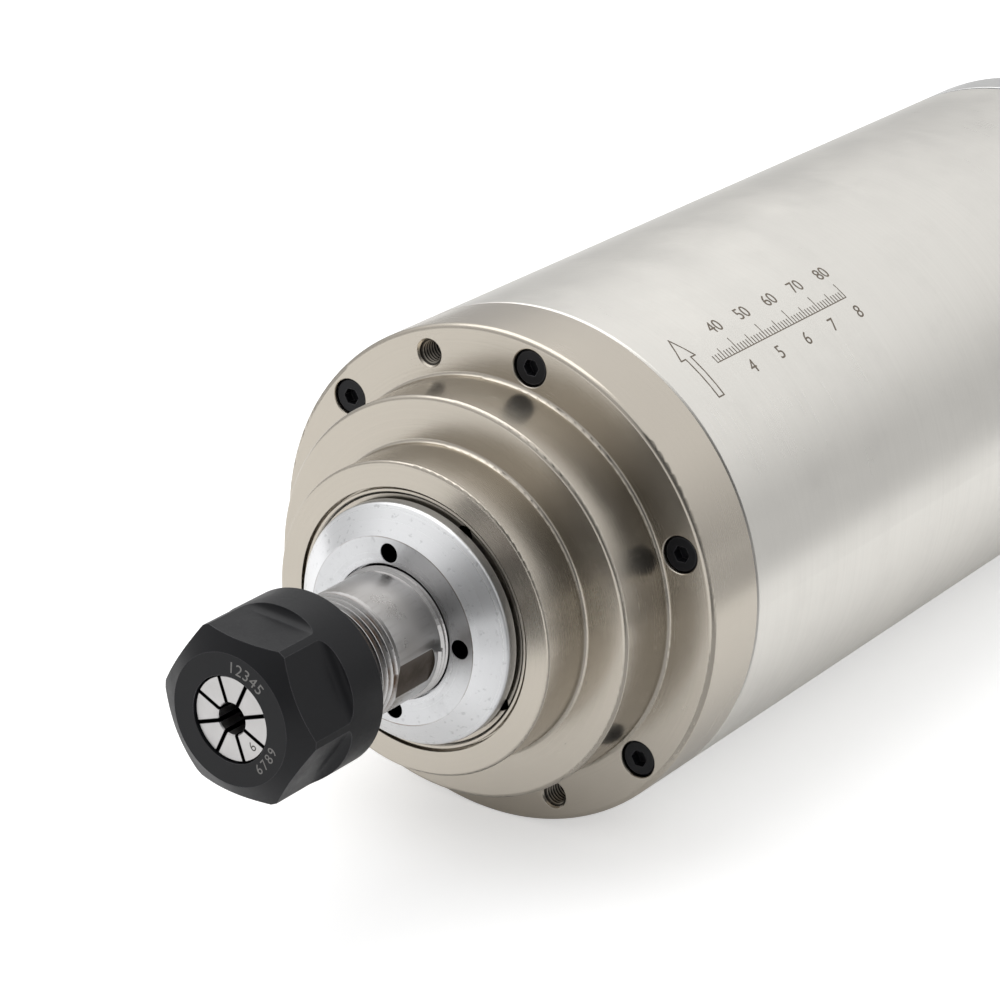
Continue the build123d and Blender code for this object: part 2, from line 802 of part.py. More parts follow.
# Shaft: taper and thread for the collet in front, seats for the bearings and the rotor
lock_nut_back = rear_bearing_end + lock_nut_length
shaft_back = lock_nut_back + shaft_tail
thread_root = nose_thread_radius - thread_depth
taper_rise = tan(radians(collet_half_angle))
with BuildPart() as shaft:
    turn([
        (0, shaft_front),
        (thread_root - edge_chamfer, shaft_front),
        (thread_root, shaft_front + edge_chamfer),
        (thread_root, nose_thread_back - thread_depth),
        (shaft_radius, nose_thread_back),
        (shaft_radius, cap_thread_front),
        (cap_thread_root, cap_thread_front),
        (cap_thread_root, front_bearing_start + thread_fit),
        (front_bearing_bore, front_bearing_start + thread_fit),
        (front_bearing_bore, front_bearing_end),
        (shaft_shoulder, front_bearing_end),
        (shaft_shoulder, shoulder_end),
        (rotor_seat, shoulder_end),
        (rotor_seat, stator_back + end_ring_length),
        (rear_shaft_radius, stator_back + end_ring_length),
        (rear_shaft_radius, rear_bearing_front),
        (rear_bearing_bore, rear_bearing_front),
        (rear_bearing_bore, shaft_back - edge_chamfer),
        (rear_bearing_bore - edge_chamfer, shaft_back),
        (0, shaft_back),
    ])
    mouth = collet_radius + collet_fit - taper_rise * nose_setback
    taper_end = collet_back + taper_spare
    throat = mouth - taper_rise * (taper_end - shaft_front)
    shaft_bore = throat - taper_end_step
    bore_back = taper_end + shaft_bore_length
    turn([
        (0, shaft_front),
        (mouth, shaft_front),
        (throat, taper_end),
        (shaft_bore, taper_end),
        (shaft_bore, bore_back),
        (0, bore_back + shaft_bore / tan(radians(drill_point_angle / 2))),
    ], mode=Mode.SUBTRACT)
    for side in (0, 180):
        with BuildSketch(facing(flat_angle + side, shaft_radius - flat_depth)) as flat:
            with Locations((0, (flat_front + flat_back - flat_end_radius) / 2)):
                Rectangle(2 * flat_end_radius, flat_length - flat_end_radius)
            with Locations((0, flat_back - flat_end_radius)):
                Circle(flat_end_radius)
        extrude(flat.sketch, amount=nose_thread_radius, mode=Mode.SUBTRACT)

# Rear lock nut: slotted ring that clamps the rear bearings
with BuildPart() as rear_lock_nut:
    turn_ring(rear_bearing_bore + thread_fit, lock_nut_radius, rear_bearing_end, lock_nut_back)
    with BuildSketch(across(rear_bearing_end)) as lock_slots:
        with PolarLocations(lock_nut_radius, lock_slot_count, from_top(0)):
            Rectangle(2 * lock_slot_depth, lock_slot_width)
    extrude(lock_slots.sketch, amount=-lock_nut_length, mode=Mode.SUBTRACT)

# Dust cap: turned cap on the shaft, whose hub clamps the front bearings
with BuildPart() as dust_cap:
    cap_cone_back = cap_back - cap_rim
    turn([
        (cap_bore, cap_face),
        (cap_face_radius, cap_face),
        (cap_radius, cap_cone_back),
        (cap_radius, cap_back),
        (cap_hub_radius, cap_back),
        (cap_hub_radius, front_bearing_start),
        (cap_thread_radius, front_bearing_start),
        (cap_thread_radius, cap_face + cap_bore_depth),
        (cap_bore, cap_face + cap_bore_depth),
    ])
    fillet(rims(dust_cap, cap_radius, cap_cone_back), cap_edge)
    drill(
        cap_pin_radius, cap_face, cap_face + cap_pin_depth,
        cap_pin_circle_radius, cap_pin_count, cap_pin_angle,
    )

# Collet: spring collet with a taper, a groove for the nut's lip and slots from both ends
with BuildPart() as collet:
    collet_back_radius = collet_radius - taper_rise * (collet_back - collet_shoulder)
    turn([
        (collet_bore + collet_edge, collet_face),
        (collet_face_radius, collet_face),
        (collet_ridge_radius, collet_ridge_front),
        (collet_ridge_radius, collet_groove_front),
        (collet_groove_radius, collet_groove_front),
        (collet_groove_radius, collet_shoulder),
        (collet_radius, collet_shoulder),
        (collet_back_radius, collet_back),
        (collet_bore, collet_back),
        (collet_bore, collet_face + collet_edge),
    ], start=collet_slot_angle)
    slot_step = 360.0 / collet_slot_count
    for i in range(collet_slot_count):
        front_slot = collet_slot_angle + i * slot_step
        front_end = collet_back - collet_rear_web
        with BuildSketch(along(front_slot)) as front_cut:
            with Locations((collet_radius, (collet_face + front_end) / 2)):
                Rectangle(2 * collet_radius, front_end - collet_face)
        extrude(front_cut.sketch, amount=collet_slot_width / 2, both=True, mode=Mode.SUBTRACT)
        back_start = collet_face + collet_front_web
        with BuildSketch(along(front_slot + slot_step / 2)) as back_cut:
            with Locations((collet_radius, (back_start + collet_back) / 2)):
                Rectangle(2 * collet_radius, collet_back - back_start)
        extrude(back_cut.sketch, amount=collet_slot_width / 2, both=True, mode=Mode.SUBTRACT)

# Collet nut: round nut with six milled flats, a cone for the collet and a lip that pulls it out
with BuildPart() as collet_nut:
    nut_mouth = collet_face_radius + nut_mouth_gap
    lip_front = collet_groove_front + nut_lip_gap
    lip_back = collet_shoulder - nut_lip_gap
    lip_radius = collet_ridge_radius - nut_lip_reach + nut_lip_offset
    pocket_radius = collet_ridge_radius + 2 * nut_lip_offset
    cone_rise = tan(radians(collet_face_half_angle))
    cone_start = collet_face - (collet_face_radius - nut_mouth + nut_cone_gap) / cone_rise
    cone_end = collet_ridge_front - (collet_ridge_radius - pocket_radius + nut_cone_gap) / cone_rise
    cavity_radius = collet_radius + nut_lip_gap
    cavity_back = shaft_front - nut_lip_gap
    turn([
        (nut_mouth, nut_face),
        (nut_chamfer_radius, nut_face),
        (nut_radius, nut_face + nut_chamfer_length),
        (nut_radius, nut_back - nut_rear_chamfer),
        (nut_radius - nut_rear_chamfer, nut_back),
        (nose_thread_radius + thread_fit, nut_back),
        (nose_thread_radius + thread_fit, cavity_back),
        (cavity_radius, cavity_back),
        (cavity_radius, lip_back),
        (lip_radius, lip_back),
        (lip_radius, lip_front),
        (pocket_radius, lip_front),
        (pocket_radius, cone_end),
        (nut_mouth, cone_start),
    ])
    half_width = nut_radius - nut_flat_depth
    flat_stop = nut_face + nut_flat_length
    for i in range(nut_flat_count):
        with BuildSketch(along(nut_flat_angle + i * 360.0 / nut_flat_count)) as nut_flat:
            with BuildLine():
                runout = CenterArc((half_width + nut_runout, flat_stop), nut_runout, 180, -90)
                Polyline(
                    runout @ 1,
                    (nut_radius + nut_runout, flat_stop + nut_runout),
                    (nut_radius + nut_runout, nut_face - overcut),
                    (half_width, nut_face - overcut),
                    runout @ 0,
                )
            make_face()
        extrude(nut_flat.sketch, amount=nut_radius / 2, both=True, mode=Mode.SUBTRACT)

# Cover gasket: thin ring that seals the rear cover and its water holes
rear_screw_spots = screw_spots(rear_screw_circle_radius, rear_screw_count, rear_screw_angle)
port_sides = (-port_half_angle, port_half_angle)
with BuildPart() as cover_gasket:
    turn_ring(end_ring_inner, body_radius - gasket_inset, sleeve_back, cover_front)
    drill(
        screw_radius + screw_clearance, sleeve_back, cover_front,
        rear_screw_circle_radius, rear_screw_count, rear_screw_angle,
    )
    for angle in port_sides:
        drill(water_hole_radius, sleeve_back, cover_front, water_hole_circle_radius, 1, angle)

# Rear cover: end plate with the water ports and the seat of the power socket
rear_seat = body_length - screw_head_sink - screw_head_height
with BuildPart() as rear_cover:
    spigot_outer = end_ring_inner - spigot_fit
    turn([
        (0, cover_cavity_back),
        (cover_cavity_radius, cover_cavity_back),
        (cover_cavity_radius, rear_housing_back),
        (spigot_outer, rear_housing_back),
        (spigot_outer, cover_front),
        (body_radius - seam_chamfer, cover_front),
        (body_radius, cover_front + seam_chamfer),
        (body_radius, body_length - edge_chamfer),
        (body_radius - edge_chamfer, body_length),
        (0, body_length),
    ])
    drill(
        head_hole_radius, rear_seat, body_length,
        rear_screw_circle_radius, rear_screw_count, rear_screw_angle,
    )
    open_mouths(
        head_hole_radius, screw_hole_edge, body_length, -1,
        rear_screw_circle_radius, rear_screw_count, rear_screw_angle,
    )
    drill(
        screw_radius + screw_clearance, cover_front, rear_seat,
        rear_screw_circle_radius, rear_screw_count, rear_screw_angle,
    )
    for angle in port_sides:
        drill(port_radius, body_length - port_depth, body_length, port_circle_radius, 1, angle)
        drill(water_hole_radius, cover_front, body_length - port_depth, water_hole_circle_radius, 1, angle)
    drill(socket_tail_radius + socket_fit, cover_cavity_back, body_length, socket_drop, 1, 180)
    half_pitch = flange_screw_pitch / 2
    flange_screw_spots = [
        (x, z - socket_drop) for x in (-half_pitch, half_pitch) for z in (-half_pitch, half_pitch)
    ]
    with BuildSketch(across(body_length)) as taps:
        with Locations(*flange_screw_spots):
            Circle(flange_screw_radius + thread_fit)
    extrude(taps.sketch, amount=flange_screw_bite + tap_spare / 2, mode=Mode.SUBTRACT)

# Rear screws: six socket-head screws sunk in the rear cover
with BuildPart() as rear_screws:
    place_hex_screws(
        rear_seat, -1, screw_radius, screw_head_radius, screw_head_height,
        rear_seat - sleeve_back + screw_bite, screw_key, screw_key_depth, rear_screw_spots,
    )

# Nipple washers: flat sealing rings under the water nipples
with BuildPart() as nipple_washers:
    with BuildSketch(across(body_length)) as washers:
        for angle in port_sides:
            with PolarLocations(port_circle_radius, 1, from_top(angle)):
                Circle(washer_radius)
                Circle(port_radius, mode=Mode.SUBTRACT)
    extrude(washers.sketch, amount=-washer_thickness)

# Water nipples: threaded hose barbs with a hexagon
hex_front = body_length + washer_thickness
hex_back = hex_front + nipple_hex_length
barb_start = hex_back + nipple_neck
nipple_back = barb_start + nipple_barb_count * nipple_barb_pitch
with BuildPart() as water_nipples:
    for angle in port_sides:
        barbs = [(nipple_stem, barb_start)]
        for i in range(nipple_barb_count):
            barb_y = barb_start + i * nipple_barb_pitch
            barbs.append((nipple_barb, barb_y))
            barbs.append((nipple_stem, barb_y + nipple_barb_pitch))
        with BuildSketch(nipple_outline(angle)) as nipple:
            with BuildLine():
                Polyline(
                    (nipple_bore, hex_front - port_depth + tap_spare),
                    (port_radius - thread_fit, hex_front - port_depth + tap_spare),
                    (port_radius - thread_fit, hex_front),
                    (nipple_stem, hex_front),
                    *barbs,
                    (nipple_bore, nipple_back),
                    close=True,
                )
            make_face()
        revolve(nipple.sketch, axis=nipple_at(angle))
        with BuildSketch(across(hex_front)) as hexagon:
            with PolarLocations(port_circle_radius, 1, from_top(angle)):
                RegularPolygon(nipple_hex / 2, 6, major_radius=False)
                Circle(nipple_bore, mode=Mode.SUBTRACT)
        extrude(hexagon.sketch, amount=-nipple_hex_length)

# Socket shell: flanged barrel of the power socket, with a key rib inside
socket_front = body_length - socket_tail_length
flange_back = body_length + socket_flange_thickness
socket_back = flange_back + socket_length
insert_front = body_length - insert_front_depth
insert_back = flange_back + insert_back_depth
with BuildPart() as socket_shell:
    with BuildSketch(across(body_length)) as flange:
        with Locations((0, -socket_drop)):
            RectangleRounded(socket_flange, socket_flange, socket_flange_corner)
        with Locations(*flange_screw_spots):
            Circle(flange_screw_radius + screw_clearance, mode=Mode.SUBTRACT)
    extrude(flange.sketch, amount=-socket_flange_thickness)
    with BuildSketch(across(socket_front)) as tail:
        with Locations((0, -socket_drop)):
            Circle(socket_tail_radius)
    extrude(tail.sketch, amount=-socket_tail_length)
    with BuildSketch(across(flange_back)) as barrel:
        with Locations((0, -socket_drop)):
            Circle(socket_radius)
    extrude(barrel.sketch, amount=-socket_length)
    with BuildSketch(across(socket_front)) as hollow:
        with Locations((0, -socket_drop)):
            Circle(socket_bore)
    extrude(hollow.sketch, amount=socket_front - socket_back, mode=Mode.SUBTRACT)
    with BuildSketch(across(insert_back)) as key:
        with Locations((0, socket_bore - socket_drop)):
            Rectangle(key_width, 2 * key_depth)
        with Locations((0, -socket_drop)):
            Circle(socket_bore + key_depth / 2, mode=Mode.INTERSECT)
    extrude(key.sketch, amount=insert_back - socket_back + screw_head_chamfer)

# Socket insert: insulator that holds the pins
half_pin = pin_pitch / 2
pin_spots = [(x, z - socket_drop) for x in (-half_pin, half_pin) for z in (-half_pin, half_pin)]
with BuildPart() as socket_insert:
    with BuildSketch(across(insert_front)) as disc:
        with Locations((0, -socket_drop)):
            Circle(socket_bore - thread_fit)
        with Locations(*pin_spots):
            Circle(pin_radius, mode=Mode.SUBTRACT)
    extrude(disc.sketch, amount=insert_front - insert_back)

# Socket pins: four contacts
with BuildPart() as socket_pins:
    with BuildSketch(across(insert_front - pin_tail)) as contacts:
        with Locations(*pin_spots):
            Circle(pin_radius)
    extrude(contacts.sketch, amount=-(insert_back + pin_reach - insert_front + pin_tail))

# Socket screws: four small screws in the socket's flange
with BuildPart() as socket_screws:
    place_hex_screws(
        flange_back, -1, flange_screw_radius, flange_screw_head, flange_screw_head_height,
        socket_flange_thickness + flange_screw_bite, flange_screw_key, flange_screw_key_depth,
        flange_screw_spots,
    )

# Lead wires: one from the windings to each pin, with a bend behind the rear bearings
half_wire = wire_pitch / 2
wire_bend_back = insert_front - pin_tail - wire_bend_gap
with BuildPart() as lead_wires:
    for side in (-1, 1):
        for level in (-1, 1):
            start = (side * half_wire, coil_back, level * half_wire - wire_circle_radius)
            bend_front = (start[0], wire_bend_back - wire_bend_length, start[2])
            bend_back = (side * half_pin, wire_bend_back, level * half_pin - socket_drop)
            end = (bend_back[0], insert_front - pin_tail, bend_back[2])
            with BuildLine() as route:
                FilletPolyline(start, bend_front, bend_back, end, radius=wire_bend_radius)
            with BuildSketch(across(coil_back)) as wire:
                with Locations((start[0], start[2])):
                    Circle(wire_radius)
            sweep(wire.sketch, path=route.line)

pieces = {
    "outer_sleeve": outer_sleeve,
    "front_housing": front_housing,
    "bearing_cover": bearing_cover,
    "front_screws": front_screws,
    "spigot_seal": spigot_seal,
    "water_jacket": water_jacket,
    "jacket_seals": jacket_seals,
    "stator_core": stator_core,
    "stator_windings": stator_windings,
    "rotor_core": rotor_core,
    "rotor_cage": rotor_cage,
    "front_outer_rings": front_outer_rings,
    "front_inner_rings": front_inner_rings,
    "front_cages": front_cages,
    "front_balls": front_balls,
    "outer_spacer": outer_spacer,
    "inner_spacer": inner_spacer,
    "rear_outer_rings": rear_outer_rings,
    "rear_inner_rings": rear_inner_rings,
    "rear_cages": rear_cages,
    "rear_balls": rear_balls,
    "rear_housing": rear_housing,
    "preload_spring": preload_spring,
    "shaft": shaft,
    "rear_lock_nut": rear_lock_nut,
    "dust_cap": dust_cap,
    "collet": collet,
    "collet_nut": collet_nut,
    "cover_gasket": cover_gasket,
    "rear_cover": rear_cover,
    "rear_screws": rear_screws,
    "nipple_washers": nipple_washers,
    "water_nipples": water_nipples,
    "socket_shell": socket_shell,
    "socket_insert": socket_insert,
    "socket_pins": socket_pins,
    "socket_screws": socket_screws,
    "lead_wires": lead_wires,
}
for name, piece in pieces.items():
    piece.part.label = name
    export_step(piece.part, f"parts/{name}.step")
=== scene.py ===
from math import cos, pi, radians, sin, tau

import bmesh
import bpy
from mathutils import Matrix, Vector


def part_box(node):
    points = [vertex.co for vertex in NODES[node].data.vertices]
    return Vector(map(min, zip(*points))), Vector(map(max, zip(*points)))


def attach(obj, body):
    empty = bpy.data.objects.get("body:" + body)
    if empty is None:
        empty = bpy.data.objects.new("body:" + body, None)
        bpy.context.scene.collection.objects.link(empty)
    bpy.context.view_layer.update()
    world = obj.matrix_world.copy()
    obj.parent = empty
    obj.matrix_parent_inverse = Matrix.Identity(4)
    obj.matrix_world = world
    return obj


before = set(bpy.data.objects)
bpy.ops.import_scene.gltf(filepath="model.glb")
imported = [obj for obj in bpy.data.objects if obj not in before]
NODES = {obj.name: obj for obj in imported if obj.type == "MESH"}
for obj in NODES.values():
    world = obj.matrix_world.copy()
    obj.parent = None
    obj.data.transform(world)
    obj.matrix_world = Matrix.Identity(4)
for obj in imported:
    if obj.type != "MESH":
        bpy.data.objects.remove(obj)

# Looks of a water-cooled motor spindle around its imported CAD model.
# Lengths are in metres. The spindle's axis is Y, its nose points to -Y and the flange's front face is y = 0.
# Angles go clockwise from the top, as seen from the front.

bl_info = {
    "name": "Motor spindle",
    "version": (1, 0, 0),
    "blender": (4, 5, 0),
    "location": "3D View > Sidebar > Spindle",
    "description": "Threads, marks, finishes and studio of a motor spindle",
    "category": "Object",
}

# Places read from the frame: each box gives a node's lowest and highest corner
SHAFT_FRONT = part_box("shaft")[0].y
NUT_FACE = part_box("collet_nut")[0].y
COLLET_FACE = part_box("collet")[0].y
CAP_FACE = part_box("dust_cap")[0].y
COVER_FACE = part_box("bearing_cover")[0].y
SLEEVE_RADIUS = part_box("outer_sleeve")[1].x
SLEEVE_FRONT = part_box("outer_sleeve")[0].y
SOCKET_LOW, SOCKET_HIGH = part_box("socket_shell")
FLANGE_FACE = 0.0

# Where the nose's thread starts behind the shaft's front, and the jacking threads behind the flange's face
NOSE_THREAD_START = 0.0008
JACK_THREAD_START = 0.0003
# How far the cap's thread and the shaft's collar reach in front of the cap
CAP_THREAD_REACH = 0.0024
COLLAR_REACH = 0.0031
# Rings round the axis: those with the spanner holes, and a faint line on the cap
COVER_HOLE_RING = (0.0209, 0.0249)
CAP_HOLE_RING = (0.01345, 0.0177)
CAP_LINE_RING = (0.01838, 0.01858)
RING_BLUR = 0.00005
# The socket's barrel under its thread, and where the thread lies before the socket's end
SOCKET_BARREL = 0.0095
SOCKET_THREAD = (0.0105, 0.0004)
# Marks: widths of lines, and the circles that the numbers stand on
ARROW_LINE = 0.0003
SCALE_LINE = 0.00022
NUT_NUMBER_CIRCLE = 0.0101
COLLET_NUMBER_CIRCLE = 0.0062
# Depth of fine grooves and grain, and the rounding of plain edges
MARK_DEPTH = 0.00001
PLAIN_EDGE = 0.0002
# Distance between the grooves that the tool or the wheel leaves
NICKEL_PITCH = 0.0004
CAP_PITCH = 0.00018
GROUND_PITCH = 0.0002
COLLET_PITCH = 0.00015
MACHINED_PITCH = 0.0005
# Colours of the marks, and of lighter edges that are partly wear and partly a painted highlight
SCRIBED = (0.16, 0.155, 0.15)
ETCHED = (0.05, 0.045, 0.04)
EDGE_WEAR_AND_HIGHLIGHT = (0.15, 0.15, 0.16)


# Settings

def length(name, default, description):
    return bpy.props.FloatProperty(
        name=name, default=default, description=description, subtype="DISTANCE", unit="LENGTH", precision=5,
    )


def angle(name, default, description):
    return bpy.props.FloatProperty(
        name=name, default=radians(default), description=description, subtype="ANGLE", unit="ROTATION",
    )


def share(name, default, description):
    return bpy.props.FloatProperty(
        name=name, default=default, min=0.0, max=1.0, description=description, subtype="FACTOR",
    )


def amount(name, default, description):
    return bpy.props.FloatProperty(name=name, default=default, description=description)


def colour(name, default, description):
    return bpy.props.FloatVectorProperty(
        name=name, default=default, size=3, min=0.0, max=1.0, description=description, subtype="COLOR",
    )


class SpindleSizes(bpy.types.PropertyGroup):
    nose_thread_root: length("Nose thread root", 0.01170, "Radius of the nose thread's grooves")
    nose_thread_crest: length("Nose thread crest", 0.01245, "Radius of the nose thread's crests")
    nose_thread_pitch: length("Nose thread pitch", 0.0015, "Distance between the turns of the nose thread")
    nose_thread_length: length("Nose thread length", 0.0248, "From the shaft's front to the thread's end")
    cap_thread_root: length("Cap thread root", 0.01235, "Radius of the cap thread's grooves")
    cap_thread_crest: length("Cap thread crest", 0.01292, "Radius of the cap thread's crests")
    cap_thread_pitch: length("Cap thread pitch", 0.0010, "Distance between the turns of the cap thread")
    cap_thread_length: length("Cap thread length", 0.0036, "Length of the cap thread in sight")
    jack_radius: length("Jack hole", 0.0025, "Radius of the jacking holes")
    jack_crest: length("Jack thread crest", 0.0021, "Radius inside the jacking threads")
    jack_pitch: length("Jack thread pitch", 0.0008, "Distance between the turns of the jacking threads")
    jack_circle: length("Jack circle", 0.0447, "Radius of the circle with the jacking holes")
    jack_angle: angle("Jack angle", -19.0, "Angle of the first jacking hole from the top")
    collet_slot_angle: angle("Collet slot angle", 26.0, "Angle of the collet's first slot from the top")
    collet_slot_step: angle("Collet slot step", 45.0, "Angle between the collet's slots")
    # Painted shade: the width of the near-black line painted along each collet slot.
    collet_slot_oil: length("Collet slot oil", 0.00034, "Half the width of the dark line along each slot")
    socket_crest: length("Socket thread crest", 0.0097, "Radius of the thread's crests on the socket")
    socket_pitch: length("Socket thread pitch", 0.0010, "Distance between the turns on the socket")
    mark_height: length("Mark height", 0.00001, "How far marks stand above the round sleeve")
    face_mark_height: length("Face mark height", 0.000002, "How far marks stand above flat faces")
    mark_step: length("Mark step", 0.0007, "Size of the steps that bend a mark round the sleeve")
    number_size: length("Number size", 0.0042, "Size of the numbers on the sleeve")


class SpindleColours(bpy.types.PropertyGroup):
    sleeve: colour("Sleeve steel", (0.78, 0.76, 0.715), "Satin steel of the round body")
    nickel: colour("Nickel plate", (0.56, 0.515, 0.447), "Warm plating of the flange and its steps")
    aluminium: colour("Aluminium", (0.70, 0.705, 0.715), "Turned aluminium of the dust cap")
    ground: colour("Ground steel", (0.53, 0.52, 0.515), "Ground steel of the shaft and the collet")
    oxide: colour("Black oxide", (0.0065, 0.0067, 0.0082), "Black finish of the nut and the screws")
    rust: colour("Rust", (0.16, 0.085, 0.04), "Rust and old oil in the grooves")
    mark: colour("Marking", (0.13, 0.105, 0.08), "Burnt marks on the sleeve")
    brass: colour("Brass", (0.72, 0.55, 0.28), "Water nipples and contacts")
    copper: colour("Copper", (0.75, 0.38, 0.22), "Windings and washers")
    rubber: colour("Rubber", (0.02, 0.02, 0.02), "Seals")
    film: colour("Oil film", (0.11, 0.092, 0.078), "Dark film on the wrench flats")
    # Painted shade: this near black stands in for the shade inside small holes and along the collet's slots.
    void: colour("Hole", (0.006, 0.006, 0.007), "Oil and dirt inside small holes")


class SpindleStage(bpy.types.PropertyGroup):
    azimuth: angle("Azimuth", 35.371, "Camera's angle round the object")
    elevation: angle("Elevation", 21.678, "Camera's angle above the horizon")
    distance: length("Distance", 0.6759, "From the flange's centre to the camera")
    aim_right: length("Aim right", 0.001492, "Shift of the camera to its right")
    aim_up: length("Aim up", 0.014602, "Shift of the camera upwards")
    lens: amount("Lens", 127.29, "Focal length in mm on a sensor of 36 mm")
    key_power: amount("Key light", 8.0, "Power of the overhead softbox")
    sky: share("Sky", 0.75, "Strength of the world on matt surfaces")
    floor_lift: share("Floor lift", 0.46, "Light that the floor adds to its own colour for the camera")
    floor_gloss: share("Floor gloss lift", 0.24, "Light that the floor adds to its own colour in reflections")
    room_radius: length("Room radius", 1.6, "From the object to the studio's wall")
    room_height: length("Room height", 1.9, "Height of the studio's wall")


def sizes():
    return bpy.context.scene.spindle_sizes


def colours():
    return bpy.context.scene.spindle_colours


def stage():
    return bpy.context.scene.spindle_stage


# Node helpers

def add(tree, kind, inputs=None, **settings):
    """New shader node. An input is a value or another node's output socket."""
    node = tree.nodes.new(kind)
    for key, value in settings.items():
        setattr(node, key, value)
    for key, value in (inputs or {}).items():
        if isinstance(value, bpy.types.NodeSocket):
            tree.links.new(value, node.inputs[key])
        else:
            node.inputs[key].default_value = value
    return node


def calc(tree, operation, first, second=0.0, clamp=False):
    node = add(tree, "ShaderNodeMath", {0: first, 1: second}, operation=operation, use_clamp=clamp)
    return node.outputs[0]


def times(tree, first, second):
    return calc(tree, "MULTIPLY", first, second)


def minus(tree, first, second):
    return calc(tree, "SUBTRACT", first, second)


def plus(tree, first, second):
    return calc(tree, "ADD", first, second)


def mix_value(tree, factor, first, second):
    """The first value where the factor is nothing and the second where it is one."""
    node = add(tree, "ShaderNodeMix", {0: factor, 2: first, 3: second}, data_type="FLOAT")
    return node.outputs[0]


def dot(tree, first, second):
    node = add(tree, "ShaderNodeVectorMath", {0: first, 1: second}, operation="DOT_PRODUCT")
    return node.outputs["Value"]


def spread(tree, value, low, high, out_low=0.0, out_high=1.0):
    """Maps a value from one range to another, held at both ends."""
    node = add(
        tree, "ShaderNodeMapRange",
        {"Value": value, "From Min": low, "From Max": high, "To Min": out_low, "To Max": out_high},
        clamp=True,
    )
    return node.outputs["Result"]


def vary(tree, pattern, low, high):
    """Maps the middle range of a noise pattern to two values."""
    return spread(tree, pattern, 0.3, 0.7, low, high)


def mix_colour(tree, factor, first, second):
    """The first colour where the factor is nothing and the second where it is one."""
    def rgba(value):
        return value if isinstance(value, bpy.types.NodeSocket) else (*value, 1.0)

    inputs = {0: factor, 6: rgba(first), 7: rgba(second)}
    return add(tree, "ShaderNodeMix", inputs, data_type="RGBA", clamp_factor=True).outputs[2]


def place(tree):
    """Object coordinates."""
    return add(tree, "ShaderNodeTexCoord").outputs["Object"]


def distance(tree, across, upward):
    """Length of the line with these two measures at a right angle."""
    squares = plus(tree, calc(tree, "POWER", across, 2.0), calc(tree, "POWER", upward, 2.0))
    return calc(tree, "SQRT", squares)


def axis_place(tree):
    """Radius from the spindle's axis, place along it, and the raw coordinates."""
    coords = place(tree)
    parts = add(tree, "ShaderNodeSeparateXYZ", {0: coords})
    return distance(tree, parts.outputs["X"], parts.outputs["Z"]), parts.outputs["Y"], coords


def noise(tree, coords, scale, detail=2.0, rough=0.5, stretch=None):
    if stretch is not None:
        coords = add(tree, "ShaderNodeMapping", {"Vector": coords, "Scale": stretch}).outputs[0]
    node = add(
        tree, "ShaderNodeTexNoise",
        {"Vector": coords, "Scale": scale, "Detail": detail, "Roughness": rough},
    )
    return node.outputs["Fac"]


def facing(tree):
    """How square a surface lies to the axis: one on faces and nothing on barrels."""
    true_normal = add(tree, "ShaderNodeNewGeometry").outputs["True Normal"]
    return calc(tree, "ABSOLUTE", add(tree, "ShaderNodeSeparateXYZ", {0: true_normal}).outputs["Y"])


def turning_marks(tree, radius, along, pitch):
    """Fine grooves of a lathe tool: rings on a face and rings round a barrel or a cone."""
    on_face = calc(tree, "GREATER_THAN", facing(tree), 0.99)
    way = mix_value(tree, on_face, along, radius)
    rings = add(tree, "ShaderNodeCombineXYZ", {0: way, 1: on_face}).outputs[0]
    return noise(tree, rings, 1.0 / pitch, detail=3.0, rough=0.7)


def jack_hole_radius(tree, coords):
    """Distance from the axis of the nearer jacking hole. The two holes lie opposite each other."""
    size = sizes()
    outwards = (sin(size.jack_angle), 0.0, cos(size.jack_angle))
    sideways = (cos(size.jack_angle), 0.0, -sin(size.jack_angle))
    far = minus(tree, calc(tree, "ABSOLUTE", dot(tree, coords, outwards)), size.jack_circle)
    return distance(tree, far, dot(tree, coords, sideways))


def soft_edges(tree, width):
    """Normals rounded over the edges."""
    return add(tree, "ShaderNodeBevel", {"Radius": width}, samples=4).outputs[0]


def edge_mask(tree, soft, gain):
    """One near edges and nothing on flat surfaces."""
    hard = add(tree, "ShaderNodeNewGeometry").outputs["Normal"]
    return calc(tree, "MULTIPLY", minus(tree, 1.0, dot(tree, soft, hard)), gain, clamp=True)


def background_rays(tree):
    """One for the rays that should see a white background."""
    paths = add(tree, "ShaderNodeLightPath")
    seen = calc(tree, "MAXIMUM", paths.outputs["Is Camera Ray"], paths.outputs["Is Glossy Ray"])
    return calc(tree, "MAXIMUM", seen, paths.outputs["Is Transmission Ray"])


def start_material(name):
    material = bpy.data.materials.new(name)
    material.use_nodes = True
    material.node_tree.nodes.clear()
    return material, material.node_tree


def start_finish(name, metallic, roughness, **constants):
    """Material with one principled shader. The constants go on the shader's own sockets."""
    material, tree = start_material(name)
    output = add(tree, "ShaderNodeOutputMaterial")
    constants.update(Metallic=metallic, Roughness=roughness)
    surface = add(tree, "ShaderNodeBsdfPrincipled", constants)
    tree.links.new(surface.outputs[0], output.inputs["Surface"])
    return material, tree, surface


def link_looks(tree, surface, base, rough=None):
    """Gives the shader its patterns of colour and, where there is one, of roughness."""
    tree.links.new(base, surface.inputs["Base Color"])
    if rough is not None:
        tree.links.new(rough, surface.inputs["Roughness"])


def between(tree, value, low, high, blend):
    """One between two limits and nothing outside them."""
    above = spread(tree, value, low - blend, low + blend)
    below = spread(tree, value, high - blend, high + blend, 1.0, 0.0)
    return times(tree, above, below)


def set_bump(tree, surface, height, depth, strength, soft=None):
    """Bump from a height pattern, over soft edges where they are given."""
    inputs = {"Height": height, "Distance": depth, "Strength": strength}
    if soft is not None:
        inputs["Normal"] = soft
    bump = add(tree, "ShaderNodeBump", inputs)
    tree.links.new(bump.outputs[0], surface.inputs["Normal"])


